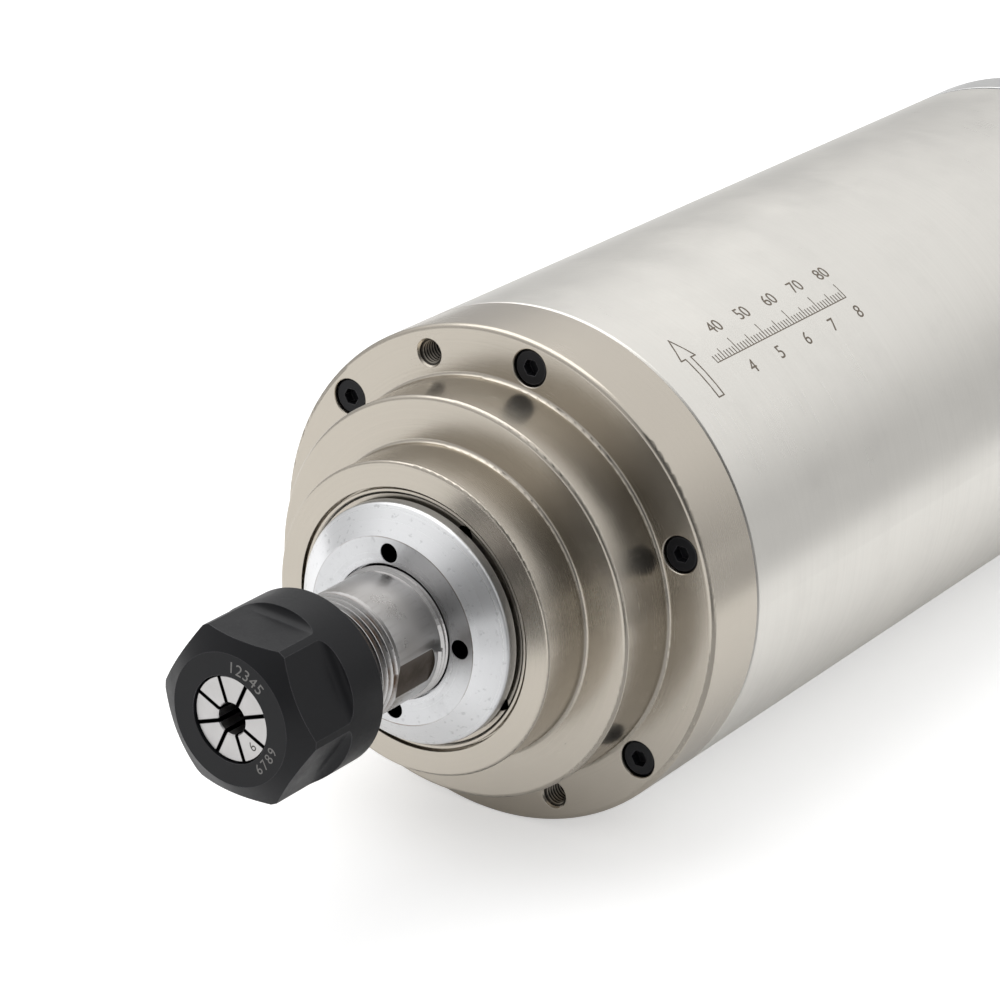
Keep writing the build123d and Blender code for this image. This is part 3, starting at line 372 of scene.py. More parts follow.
def around_axis(tree, surface):
    """Lays the stretched gloss of turned metal round the spindle's axis."""
    tangent = add(tree, "ShaderNodeTangent", direction_type="RADIAL", axis="Y")
    tree.links.new(tangent.outputs[0], surface.inputs["Tangent"])
    surface.inputs["Anisotropic Rotation"].default_value = 0.25


def scaled(rgb, factor):
    return tuple(min(1.0, channel * factor) for channel in rgb)


# Finishes

def sleeve_steel():
    """Satin ground steel: fine rings, soft clouds and faint stains."""
    tone = colours().sleeve
    material, tree, surface = start_finish("satin_sleeve_steel", 1.0, 0.3, Anisotropic=0.45)
    coords = place(tree)
    clouds = noise(tree, coords, 34.0, detail=4.0, rough=0.6)
    rings = noise(tree, coords, 1.0, detail=3.0, rough=0.65, stretch=(9.0, 1500.0, 9.0))
    stains = spread(tree, noise(tree, coords, 90.0, detail=5.0, rough=0.7), 0.5, 0.72)
    base = mix_colour(tree, clouds, scaled(tone, 0.94), scaled(tone, 1.03))
    base = mix_colour(tree, vary(tree, rings, 0.0, 0.5), base, scaled(tone, 0.93))
    base = mix_colour(tree, times(tree, stains, 0.25), base, scaled(tone, 0.82))
    rough = plus(tree, vary(tree, clouds, 0.27, 0.36), vary(tree, rings, -0.02, 0.03))
    link_looks(tree, surface, base, rough)
    around_axis(tree, surface)
    set_bump(tree, surface, rings, 2 * MARK_DEPTH, 0.3, soft_edges(tree, 0.00025))
    return material


def nickel_plate():
    """Plated turned steel: rings on faces and barrels, tiny pits, a painted highlight on the edges and
    painted shade in the holes.
    """
    tone = colours().nickel
    material, tree, surface = start_finish("nickel_plate", 1.0, 0.24, Anisotropic=0.5)
    radius, along, coords = axis_place(tree)
    rings = turning_marks(tree, radius, along, NICKEL_PITCH)
    clouds = noise(tree, coords, 45.0, detail=4.0, rough=0.6)
    pits = add(tree, "ShaderNodeTexVoronoi", {"Vector": coords, "Scale": 420.0})
    pit = spread(tree, pits.outputs["Distance"], 0.03, 0.09, 1.0, 0.0)
    pit = times(tree, pit, spread(tree, noise(tree, coords, 150.0), 0.6, 0.66))
    soft = soft_edges(tree, PLAIN_EDGE)
    # Painted shade: the walls of the cover's spanner holes are coloured near black.
    pin_hole_shade = times(
        tree, between(tree, radius, *COVER_HOLE_RING, RING_BLUR),
        spread(tree, along, COVER_FACE + 0.0005, COVER_FACE + 0.0007),
    )
    base = mix_colour(tree, clouds, scaled(tone, 0.93), scaled(tone, 1.05))
    base = mix_colour(tree, spread(tree, rings, 0.35, 0.65, 0.0, 0.4), base, scaled(tone, 0.9))
    base = mix_colour(tree, times(tree, pit, 0.7), base, scaled(tone, 0.35))
    # Painted highlight: the edges are coloured brighter than the rest of the plate.
    base = mix_colour(tree, times(tree, edge_mask(tree, soft, 4.0), 0.3), base, scaled(tone, 1.3))
    jack_wall, jack_start = sizes().jack_radius, FLANGE_FACE + JACK_THREAD_START
    # Painted shade: the walls of the jacking holes are coloured dark.
    jack_wall_shade = times(
        tree, spread(tree, jack_hole_radius(tree, coords), jack_wall + 0.00002, jack_wall + 0.0001, 1.0, 0.0),
        spread(tree, along, jack_start, jack_start + 0.0002),
    )
    base = mix_colour(tree, jack_wall_shade, base, scaled(tone, 0.12))
    base = mix_colour(tree, pin_hole_shade, base, colours().void)
    rough = plus(tree, vary(tree, clouds, 0.19, 0.27), vary(tree, rings, -0.02, 0.04))
    link_looks(tree, surface, base, rough)
    around_axis(tree, surface)
    set_bump(tree, surface, rings, MARK_DEPTH, 0.4, soft)
    return material


def cap_aluminium():
    """Bright turned aluminium with fine rings, stains, small dents, a rusty line, a painted highlight on its
    cone and painted shade in its spanner holes.
    """
    tone = colours().aluminium
    material, tree, surface = start_finish("turned_aluminium", 1.0, 0.3, Anisotropic=0.6)
    radius, along, coords = axis_place(tree)
    rings = turning_marks(tree, radius, along, CAP_PITCH)
    dents = spread(tree, noise(tree, coords, 900.0), 0.62, 0.72)
    clouds = noise(tree, coords, 120.0, detail=4.0, rough=0.65)
    cone_highlight = between(tree, facing(tree), 0.5, 0.97, 0.01)
    stains = spread(tree, noise(tree, coords, 210.0, detail=5.0, rough=0.75), 0.52, 0.68)
    base = mix_colour(tree, clouds, scaled(tone, 0.93), scaled(tone, 1.03))
    base = mix_colour(tree, times(tree, stains, 0.3), base, scaled(tone, 0.74))
    # Painted highlight: the cone is coloured brighter than the faces.
    base = mix_colour(tree, cone_highlight, base, scaled(tone, 1.26))
    base = mix_colour(tree, times(tree, dents, 0.35), base, scaled(tone, 0.6))
    groove = times(
        tree, between(tree, radius, *CAP_LINE_RING, 0.00004),
        spread(tree, noise(tree, coords, 60.0, detail=3.0), 0.42, 0.6, 0.1, 0.7),
    )
    base = mix_colour(tree, groove, base, colours().rust)
    # Painted shade: the walls of the cap's spanner holes are coloured near black.
    pin_hole_shade = times(
        tree, between(tree, radius, *CAP_HOLE_RING, RING_BLUR),
        spread(tree, along, CAP_FACE + 0.0001, CAP_FACE + 0.00025),
    )
    base = mix_colour(tree, pin_hole_shade, base, colours().void)
    link_looks(tree, surface, base, vary(tree, rings, 0.25, 0.38))
    around_axis(tree, surface)
    height = minus(tree, rings, times(tree, dents, 1.5))
    set_bump(tree, surface, height, 2 * MARK_DEPTH, 0.5, soft_edges(tree, 0.00012))
    return material


def ground_steel():
    """Ground steel. Its groove holds brown rust and a dark film lies on its wrench flats."""
    tone = colours().ground
    size = sizes()
    material, tree, surface = start_finish("ground_steel", 1.0, 0.22, Anisotropic=0.4)
    radius, along, coords = axis_place(tree)
    rings = turning_marks(tree, radius, along, GROUND_PITCH)
    clouds = noise(tree, coords, 160.0, detail=4.0, rough=0.65)
    base = mix_colour(tree, clouds, scaled(tone, 0.92), scaled(tone, 1.06))
    base = mix_colour(tree, vary(tree, rings, 0.0, 0.5), base, scaled(tone, 0.88))
    rough = vary(tree, clouds, 0.26, 0.33)
    groove = spread(tree, radius, size.nose_thread_root + 0.0001, size.nose_thread_crest - 0.00017, 1.0, 0.0)
    patchy = spread(tree, noise(tree, coords, 260.0, detail=5.0, rough=0.7), 0.3, 0.6)
    front = spread(tree, along, CAP_FACE - 0.0005, CAP_FACE - 0.0012)
    groove = times(tree, times(tree, groove, patchy), front)
    base = mix_colour(tree, times(tree, groove, 0.85), base, colours().rust)
    rough = plus(tree, rough, times(tree, groove, 0.45))
    flats = times(
        tree, between(tree, along, SHAFT_FRONT + size.nose_thread_length, CAP_FACE - COLLAR_REACH, RING_BLUR),
        spread(tree, radius, size.nose_thread_crest - 0.00006, size.nose_thread_crest - 0.00002, 1.0, 0.0),
    )
    film = mix_colour(tree, clouds, scaled(colours().film, 0.7), scaled(colours().film, 1.4))
    base = mix_colour(tree, flats, base, film)
    rough = plus(tree, rough, times(tree, flats, 0.15))
    link_looks(tree, surface, base, rough)
    around_axis(tree, surface)
    set_bump(tree, surface, rings, MARK_DEPTH, 0.4, soft_edges(tree, 0.00006))
    return material


def thread_steel():
    """Thread ridges: plain steel on the crests, and painted shade with brown rust in the grooves."""
    tone = colours().ground
    size = sizes()
    material, tree, surface = start_finish("thread_steel", 1.0, 0.28)
    radius, _, coords = axis_place(tree)
    patchy = noise(tree, coords, 300.0, detail=5.0, rough=0.7)
    groove = spread(tree, radius, size.nose_thread_root, size.nose_thread_crest - 0.00012, 1.0, 0.0)
    groove = times(tree, groove, spread(tree, patchy, 0.25, 0.55, 0.35, 1.0))
    base = mix_colour(tree, patchy, scaled(tone, 0.85), scaled(tone, 1.1))
    # Painted shade: the grooves are darkened. The brown rust added next is the thread's own colour.
    base = mix_colour(tree, times(tree, groove, 0.6), base, scaled(tone, 0.16))
    brown = times(tree, groove, spread(tree, noise(tree, coords, 110.0, detail=3.0), 0.5, 0.62))
    base = mix_colour(tree, brown, base, colours().rust)
    link_looks(tree, surface, base, spread(tree, groove, 0.0, 1.0, 0.2, 0.6))
    set_bump(tree, surface, patchy, 3 * MARK_DEPTH, 0.5)
    return material


def plain_thread():
    """Cut threads in plated holes, with painted shade that darkens them away from their crests."""
    tone = colours().nickel
    inner = sizes().jack_crest
    material, tree, surface = start_finish("cut_thread_metal", 1.0, 0.3)
    coords = place(tree)
    stain = noise(tree, coords, 500.0, detail=4.0, rough=0.7)
    crest = spread(tree, jack_hole_radius(tree, coords), inner + 0.00002, inner + 0.0002, 1.0, 0.0)
    base = mix_colour(tree, spread(tree, stain, 0.35, 0.65), scaled(tone, 0.6), scaled(tone, 0.95))
    # Painted shade: the thread is near black away from its crests.
    base = mix_colour(tree, crest, scaled(tone, 0.1), base)
    link_looks(tree, surface, base, vary(tree, stain, 0.25, 0.5))
    return material


def black_oxide():
    """Black oxide on steel with a satin grain, and lighter edges that are partly wear and partly a painted
    highlight.
    """
    tone = colours().oxide
    gloss = {"Specular IOR Level": 0.24, "IOR": 1.5}
    material, tree, surface = start_finish("black_oxide", 0.0, 0.38, **gloss)
    coords = place(tree)
    grain = noise(tree, coords, 1600.0, detail=3.0, rough=0.6)
    clouds = noise(tree, coords, 130.0, detail=4.0, rough=0.6)
    soft = soft_edges(tree, PLAIN_EDGE)
    # The lighter edges are partly wear and partly a painted highlight.
    wear_and_highlight = times(tree, edge_mask(tree, soft, 12.0), spread(tree, clouds, 0.35, 0.62, 0.25, 1.0))
    base = mix_colour(tree, clouds, scaled(tone, 0.8), scaled(tone, 1.35))
    base = mix_colour(tree, times(tree, wear_and_highlight, 0.7), base, EDGE_WEAR_AND_HIGHLIGHT)
    rough = plus(tree, vary(tree, clouds, 0.33, 0.45), vary(tree, grain, -0.02, 0.04))
    link_looks(tree, surface, base, rough)
    set_bump(tree, surface, grain, MARK_DEPTH, 0.35, soft)
    return material


def collet_steel():
    """Fine ground steel of the collet, darker near its edges, with painted shade along its slots."""
    tone = colours().ground
    size = sizes()
    material, tree, surface = start_finish("collet_steel", 1.0, 0.3, Anisotropic=0.3)
    radius, along, coords = axis_place(tree)
    rings = turning_marks(tree, radius, along, COLLET_PITCH)
    clouds = noise(tree, coords, 300.0, detail=4.0, rough=0.6)
    soft = soft_edges(tree, 0.0001)
    # Darker near every edge, the slot edges among them.
    edge_darkening = edge_mask(tree, soft, 4.0)
    base = mix_colour(tree, clouds, scaled(tone, 0.93), scaled(tone, 1.15))
    base = mix_colour(tree, times(tree, edge_darkening, 0.35), base, scaled(tone, 0.55))
    # Painted shade: a near-black line along each slot.
    parts = add(tree, "ShaderNodeSeparateXYZ", {0: coords})
    turn = calc(tree, "ARCTAN2", parts.outputs["X"], parts.outputs["Z"])
    turn = minus(tree, turn, size.collet_slot_angle - size.collet_slot_step / 2 - tau)
    turn = minus(tree, calc(tree, "MODULO", turn, size.collet_slot_step), size.collet_slot_step / 2)
    from_slot = times(tree, calc(tree, "ABSOLUTE", turn), radius)
    slot_shade = spread(tree, from_slot, size.collet_slot_oil, size.collet_slot_oil + 0.00012, 1.0, 0.0)
    base = mix_colour(tree, slot_shade, base, colours().void)
    link_looks(tree, surface, base, vary(tree, rings, 0.28, 0.4))
    around_axis(tree, surface)
    set_bump(tree, surface, rings, MARK_DEPTH, 0.4, soft)
    return material


def plain_metal(name, tone, roughness):
    """Machined metal of the pieces at the back and inside."""
    material, tree, surface = start_finish(name, 1.0, roughness)
    radius, along, coords = axis_place(tree)
    rings = turning_marks(tree, radius, along, MACHINED_PITCH)
    clouds = noise(tree, coords, 110.0, detail=4.0, rough=0.6)
    base = mix_colour(tree, clouds, scaled(tone, 0.88), scaled(tone, 1.08))
    link_looks(tree, surface, base, vary(tree, clouds, roughness - 0.05, roughness + 0.07))
    set_bump(tree, surface, rings, MARK_DEPTH, 0.4, soft_edges(tree, PLAIN_EDGE))
    return material


def laminations():
    """Stack of thin sheets, seen as fine lines along the axis."""
    material, tree, surface = start_finish("lamination_steel", 0.8, 0.5)
    coords = place(tree)
    sheets = add(tree, "ShaderNodeTexWave", {"Vector": coords, "Scale": 320.0}, bands_direction="Y")
    dark, light, tinted = (0.10, 0.10, 0.11), (0.24, 0.24, 0.26), (0.16, 0.15, 0.18)
    base = mix_colour(tree, sheets.outputs["Fac"], dark, light)
    base = mix_colour(tree, times(tree, noise(tree, coords, 80.0), 0.3), base, tinted)
    link_looks(tree, surface, base)
    set_bump(tree, surface, sheets.outputs["Fac"], 0.00005, 0.4)
    return material


def wound_copper():
    """Enamelled wire laid round the stator."""
    tone = colours().copper
    material, tree, surface = start_finish("wound_copper", 0.85, 0.35, **{"Coat Weight": 0.3})
    coords = place(tree)
    wires = add(
        tree, "ShaderNodeTexWave", {"Vector": coords, "Scale": 260.0, "Distortion": 1.5}, bands_direction="Y",
    )
    base = mix_colour(tree, wires.outputs["Fac"], scaled(tone, 0.45), tone)
    link_looks(tree, surface, base)
    set_bump(tree, surface, wires.outputs["Fac"], 0.0002, 0.6)
    return material


def dull(name, tone, roughness, scale=700.0):
    """Rubber, fibre and plastic: a soft surface with fine grain."""
    material, tree, surface = start_finish(name, 0.0, roughness)
    coords = place(tree)
    grain = noise(tree, coords, scale, detail=4.0, rough=0.6)
    clouds = noise(tree, coords, 90.0)
    base = mix_colour(tree, clouds, scaled(tone, 0.8), scaled(tone, 1.2))
    link_looks(tree, surface, base, vary(tree, grain, roughness - 0.06, roughness + 0.08))
    set_bump(tree, surface, grain, 3 * MARK_DEPTH, 0.5)
    return material


def burnt_mark(name, tone):
    """Laser marking: brown-grey, a little uneven."""
    material, tree, surface = start_finish(name, 0.3, 0.55)
    coords = place(tree)
    patchy = noise(tree, coords, 1500.0, detail=3.0, rough=0.7)
    base = mix_colour(tree, patchy, scaled(tone, 0.75), scaled(tone, 1.6))
    link_looks(tree, surface, base, vary(tree, patchy, 0.45, 0.65))
    return material


def dress(material, *names):
    """Gives a CAD node its finish."""
    for name in names:
        mesh = NODES[name].data
        mesh.materials.clear()
        mesh.materials.append(material)


# Shapes

def mesh_piece(name, shape, material):
    """Turns a bmesh into an object with one material."""
    mesh = bpy.data.meshes.new(name)
    shape.to_mesh(mesh)
    shape.free()
    mesh.materials.append(material)
    piece = bpy.data.objects.new(name, mesh)
    bpy.context.scene.collection.objects.link(piece)
    return piece


def finish_piece(name, shape, body, material):
    """Turns a bmesh into a piece that rides on a body and takes a finish."""
    piece = mesh_piece(name, shape, material)
    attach(piece, body)


def ridge_shape(shape, root, crest, pitch, start, end, centre=(0.0, 0.0), steps=64):
    """Adds a helical thread ridge to a bmesh: a small outline spun round an axis along Y, advancing by the
    pitch. The ridge stands out where the crest is larger than the root, and in where it is smaller. Its foot
    is sunk into the metal a little."""
    turns = (end - start) / pitch - 1.0
    sunk = root - (crest - root) * 0.15
    half_foot, half_crest = 0.46 * pitch, 0.06 * pitch
    x, z = centre
    outline = ((sunk, -half_foot), (crest, -half_crest), (crest, half_crest), (sunk, half_foot))
    verts = [shape.verts.new((x + radius, start + 0.5 * pitch + shift, z)) for radius, shift in outline]
    first = [shape.edges.new((verts[i], verts[(i + 1) % 4])) for i in range(4)]
    count = max(8, round(turns * steps))
    made = bmesh.ops.spin(
        shape, geom=verts + first, cent=(x, 0.0, z), axis=(0.0, 1.0, 0.0),
        dvec=(0.0, turns * pitch / count, 0.0), angle=turns * tau, steps=count,
        use_merge=False, use_duplicate=False,
    )
    last = [item for item in made["geom_last"] if isinstance(item, bmesh.types.BMEdge)]
    for ring in (first, last):
        bmesh.ops.contextual_create(shape, geom=ring)


def thread_ridge(name, body, slot_name, material, **measures):
    """Makes a thread that is a piece of its own. The measures go to ridge_shape."""
    shape = bmesh.new()
    ridge_shape(shape, **measures)
    bmesh.ops.recalc_face_normals(shape, faces=shape.faces)
    finish_piece(name, shape, body, material)


def flat_text(body_text, size):
    """Mesh of a short text, flat in local x and y, with its middle at the origin."""
    curve = bpy.data.curves.new("number", "FONT")
    curve.body = body_text
    curve.size = size
    curve.align_x = "CENTER"
    curve.align_y = "CENTER"
    curve.resolution_u = 4
    holder = bpy.data.objects.new("number", curve)
    bpy.context.scene.collection.objects.link(holder)
    bpy.context.view_layer.update()
    mesh = bpy.data.meshes.new_from_object(holder)
    bpy.data.objects.remove(holder)
    bpy.data.curves.remove(curve)
    return mesh


def add_text(shape, body_text, size, where):
    """Adds a text to a bmesh. where is a function from local x and y to a point."""
    mesh = flat_text(body_text, size)
    before = set(shape.verts)
    shape.from_mesh(mesh)
    bpy.data.meshes.remove(mesh)
    for vert in shape.verts:
        if vert not in before:
            vert.co = where(vert.co.x, vert.co.y)


def add_line(shape, start, end, width):
    """Adds a flat line to a drawing, between two points in local x and y."""
    first, last = Vector((*start, 0.0)), Vector((*end, 0.0))
    side = (last - first).normalized().cross(Vector((0.0, 0.0, 1.0))) * width / 2
    ahead = (last - first).normalized() * width / 2
    corners = (first - ahead + side, last + ahead + side, last + ahead - side, first - ahead - side)
    shape.faces.new([shape.verts.new(corner) for corner in corners])


def wrap_on_sleeve(shape):
    """Bends a flat drawing round the sleeve. Local x is the place along the axis and local y is the way round
    the sleeve from its top towards +X."""
    size = sizes()
    radius = SLEEVE_RADIUS + size.mark_height
    top = max(vert.co.y for vert in shape.verts)
    level = min(vert.co.y for vert in shape.verts) + size.mark_step
    while level < top:
        bmesh.ops.bisect_plane(
            shape, geom=shape.verts[:] + shape.edges[:] + shape.faces[:],
            plane_co=(0.0, level, 0.0), plane_no=(0.0, 1.0, 0.0),
        )
        level += size.mark_step
    for vert in shape.verts:
        turn = vert.co.y / SLEEVE_RADIUS
        vert.co = (radius * sin(turn), vert.co.x, radius * cos(turn))


def on_front(y_face, circle, angle_at, outward):
    """Places local x clockwise and local y outwards on a face that looks to the nose, or both the other way
    where outward is -1."""
    def where(x, y):
        turn = angle_at + outward * x / circle
        radius = circle + outward * y
        return Vector((radius * sin(turn), y_face, radius * cos(turn)))

    return where


# Operators

class SPINDLE_OT_nose_thread(bpy.types.Operator):
    """Cut the thread for the collet nut on the shaft's nose"""
    bl_idname = "spindle.nose_thread"
    bl_label = "Nose thread"

    def execute(self, context):
        size = sizes()
        thread_ridge(
            "nose_thread", "rotor", "ground_steel", thread_steel(),
            root=size.nose_thread_root, crest=size.nose_thread_crest, pitch=size.nose_thread_pitch,
            start=SHAFT_FRONT + NOSE_THREAD_START, end=SHAFT_FRONT + size.nose_thread_length,
        )
        return {"FINISHED"}


class SPINDLE_OT_cap_thread(bpy.types.Operator):
    """Cut the thread that carries the dust cap"""
    bl_idname = "spindle.cap_thread"
    bl_label = "Cap thread"

    def execute(self, context):
        size = sizes()
        start = CAP_FACE - CAP_THREAD_REACH
        thread_ridge(
            "cap_thread", "rotor", "ground_steel", bpy.data.materials["thread_steel"],
            root=size.cap_thread_root, crest=size.cap_thread_crest, pitch=size.cap_thread_pitch,
            start=start, end=start + size.cap_thread_length,
        )
        return {"FINISHED"}


class SPINDLE_OT_jack_threads(bpy.types.Operator):
    """Cut the threads in the two jacking holes of the flange"""
    bl_idname = "spindle.jack_threads"
    bl_label = "Jacking threads"

    def execute(self, context):
        size = sizes()
        material = plain_thread()
        for index in range(2):
            turn = size.jack_angle + index * pi
            thread_ridge(
                f"jack_thread_{index + 1}", "housing", "nickel_plate", material,
                root=size.jack_radius, crest=size.jack_crest, pitch=size.jack_pitch, steps=32,
                start=FLANGE_FACE + JACK_THREAD_START, end=SLEEVE_FRONT,
                centre=(size.jack_circle * sin(turn), size.jack_circle * cos(turn)),
            )
        return {"FINISHED"}


class SPINDLE_OT_socket_thread(bpy.types.Operator):
    """Cut the coupling thread on the power socket's barrel"""
    bl_idname = "spindle.socket_thread"
    bl_label = "Socket thread"

    def execute(self, context):
        size = sizes()
        start, end = (SOCKET_HIGH.y - before for before in SOCKET_THREAD)
        material = plain_metal("socket_thread_metal", (0.62, 0.61, 0.59), 0.3)
        thread_ridge(
            "socket_thread", "housing", "socket_plating", material,
            root=SOCKET_BARREL, crest=size.socket_crest, pitch=size.socket_pitch,
            start=start, end=end, centre=(0.0, (SOCKET_LOW.z + SOCKET_HIGH.z) / 2),
        )
        return {"FINISHED"}


class SPINDLE_OT_sleeve_marks(bpy.types.Operator):
    """Mark the turning direction and a plain depth scale on the sleeve"""
    bl_idname = "spindle.sleeve_marks"
    bl_label = "Sleeve marks"

    def execute(self, context):
        shape = bmesh.new()
        self.add_arrow(shape)
        self.add_scale(shape)
        wrap_on_sleeve(shape)
        material = burnt_mark("burnt_mark", colours().mark)
        finish_piece("sleeve_marks", shape, "housing", material)
        return {"FINISHED"}

    def add_arrow(self, shape):
        """Outline of an arrow that points the way the shaft turns."""
        middle, tail, tip = 0.0260, SLEEVE_RADIUS * radians(43.5), SLEEVE_RADIUS * radians(26.5)
        half_shaft, half_head, head = 0.0009, 0.0024, 0.0052
        neck = tip + head
        corners = (
            (-half_shaft, tail), (-half_shaft, neck), (-half_head, neck), (0.0, tip),
            (half_head, neck), (half_shaft, neck), (half_shaft, tail), (-half_shaft, tail),
        )
        for (x0, y0), (x1, y1) in zip(corners, corners[1:]):
            add_line(shape, (middle + x0, y0), (middle + x1, y1), ARROW_LINE)

    def add_scale(self, shape):
        """Ticks each millimetre from the flange's face, numbered in millimetres and in centimetres."""
        first, last = 32, 81
        base = SLEEVE_RADIUS * radians(36.5)
        above = SLEEVE_RADIUS * radians(28.5)
        below = SLEEVE_RADIUS * radians(41.0)
        add_line(shape, (first / 1000, base), ((last - 1) / 1000, base), SCALE_LINE)
        for step in range(first, last):
            tall = 0.0036 if step % 10 == 0 else 0.0026 if step % 5 == 0 else 0.0016
            add_line(shape, (step / 1000, base), (step / 1000, base - tall), SCALE_LINE)
        for number in range(40, last, 10):
            for label, level in ((number, above), (number // 10, below)):
                add_text(
                    shape, str(label), sizes().number_size,
                    lambda x, y: Vector((number / 1000 + x, level - y, 0.0)),
                )


class SPINDLE_OT_face_numbers(bpy.types.Operator):
    """Mark plain numbers on the nut and the collet"""
    bl_idname = "spindle.face_numbers"
    bl_label = "Face numbers"

    def execute(self, context):
        lift = sizes().face_mark_height
        shape = bmesh.new()
        for digits, tall, first, step, outward in (
            ("12345", 0.0031, 4.0, 9.5, 1.0),
            ("6789", 0.0027, 141.0, -10.0, -1.0),
        ):
            for index, digit in enumerate(digits):
                turn = radians(first + step * index)
                add_text(shape, digit, tall, on_front(NUT_FACE - lift, NUT_NUMBER_CIRCLE, turn, outward))
        finish_piece("nut_numbers", shape, "nut", burnt_mark("scribed_mark", SCRIBED))
        shape = bmesh.new()
        add_text(shape, "6", 0.0026, on_front(COLLET_FACE - lift, COLLET_NUMBER_CIRCLE, radians(132.0), -1.0))
        finish_piece("collet_number", shape, "collet", burnt_mark("etched_mark", ETCHED))
        return {"FINISHED"}


class SPINDLE_OT_body_finish(bpy.types.Operator):
    """Finish the sleeve, the flange and its cover"""
    bl_idname = "spindle.body_finish"
    bl_label = "Body finish"

    def execute(self, context):
        dress(sleeve_steel(), "outer_sleeve")
        dress(nickel_plate(), "front_housing", "bearing_cover")
        plain = plain_metal("cover_aluminium", (0.74, 0.74, 0.73), 0.32)
        dress(plain, "rear_cover", "rear_housing", "water_jacket")
        return {"FINISHED"}


class SPINDLE_OT_nose_finish(bpy.types.Operator):
    """Finish the shaft, cap, nut, collet and screws"""
    bl_idname = "spindle.nose_finish"
    bl_label = "Nose finish"

    def execute(self, context):
        dress(ground_steel(), "shaft")
        dress(cap_aluminium(), "dust_cap")
        dress(black_oxide(), "collet_nut", "front_screws", "rear_screws")
        dress(collet_steel(), "collet")
        return {"FINISHED"}


class SPINDLE_OT_bearing_finish(bpy.types.Operator):
    """Finish the bearings, spacers and the pieces that clamp them"""
    bl_idname = "spindle.bearing_finish"
    bl_label = "Bearing finish"

    def execute(self, context):
        dress(
            plain_metal("bearing_steel", (0.64, 0.64, 0.65), 0.12),
            "front_outer_rings", "front_inner_rings", "front_balls",
            "rear_outer_rings", "rear_inner_rings", "rear_balls",
        )
        dress(plain_metal("cage_brass", (0.70, 0.54, 0.28), 0.35), "front_cages", "rear_cages")
        dress(
            plain_metal("machined_steel", (0.5, 0.5, 0.5), 0.35),
            "outer_spacer", "inner_spacer", "rear_lock_nut", "preload_spring",
        )
        return {"FINISHED"}


class SPINDLE_OT_motor_finish(bpy.types.Operator):
    """Finish the stator, the rotor and the leads"""
    bl_idname = "spindle.motor_finish"
    bl_label = "Motor finish"

    def execute(self, context):
        dress(laminations(), "stator_core", "rotor_core")
        dress(plain_metal("cast_rotor_aluminium", (0.62, 0.62, 0.63), 0.45), "rotor_cage")
        dress(wound_copper(), "stator_windings")
        dress(dull("wire_jacket", (0.45, 0.04, 0.03), 0.4), "lead_wires")
        return {"FINISHED"}


class SPINDLE_OT_fitting_finish(bpy.types.Operator):
    """Finish the seals, the water nipples and the power socket"""
    bl_idname = "spindle.fitting_finish"
    bl_label = "Fitting finish"

    def execute(self, context):
        dress(dull("seal_rubber", colours().rubber, 0.6), "spigot_seal", "jacket_seals")
        dress(dull("gasket_fibre", (0.10, 0.11, 0.12), 0.75, scale=1500.0), "cover_gasket")
        dress(plain_metal("fitting_brass", colours().brass, 0.26), "water_nipples", "socket_pins")
        dress(plain_metal("washer_copper", colours().copper, 0.35), "nipple_washers")
        dress(plain_metal("socket_nickel", (0.68, 0.67, 0.65), 0.22), "socket_shell", "socket_screws")
        dress(dull("socket_insulator", (0.03, 0.03, 0.033), 0.5), "socket_insert")
        return {"FINISHED"}


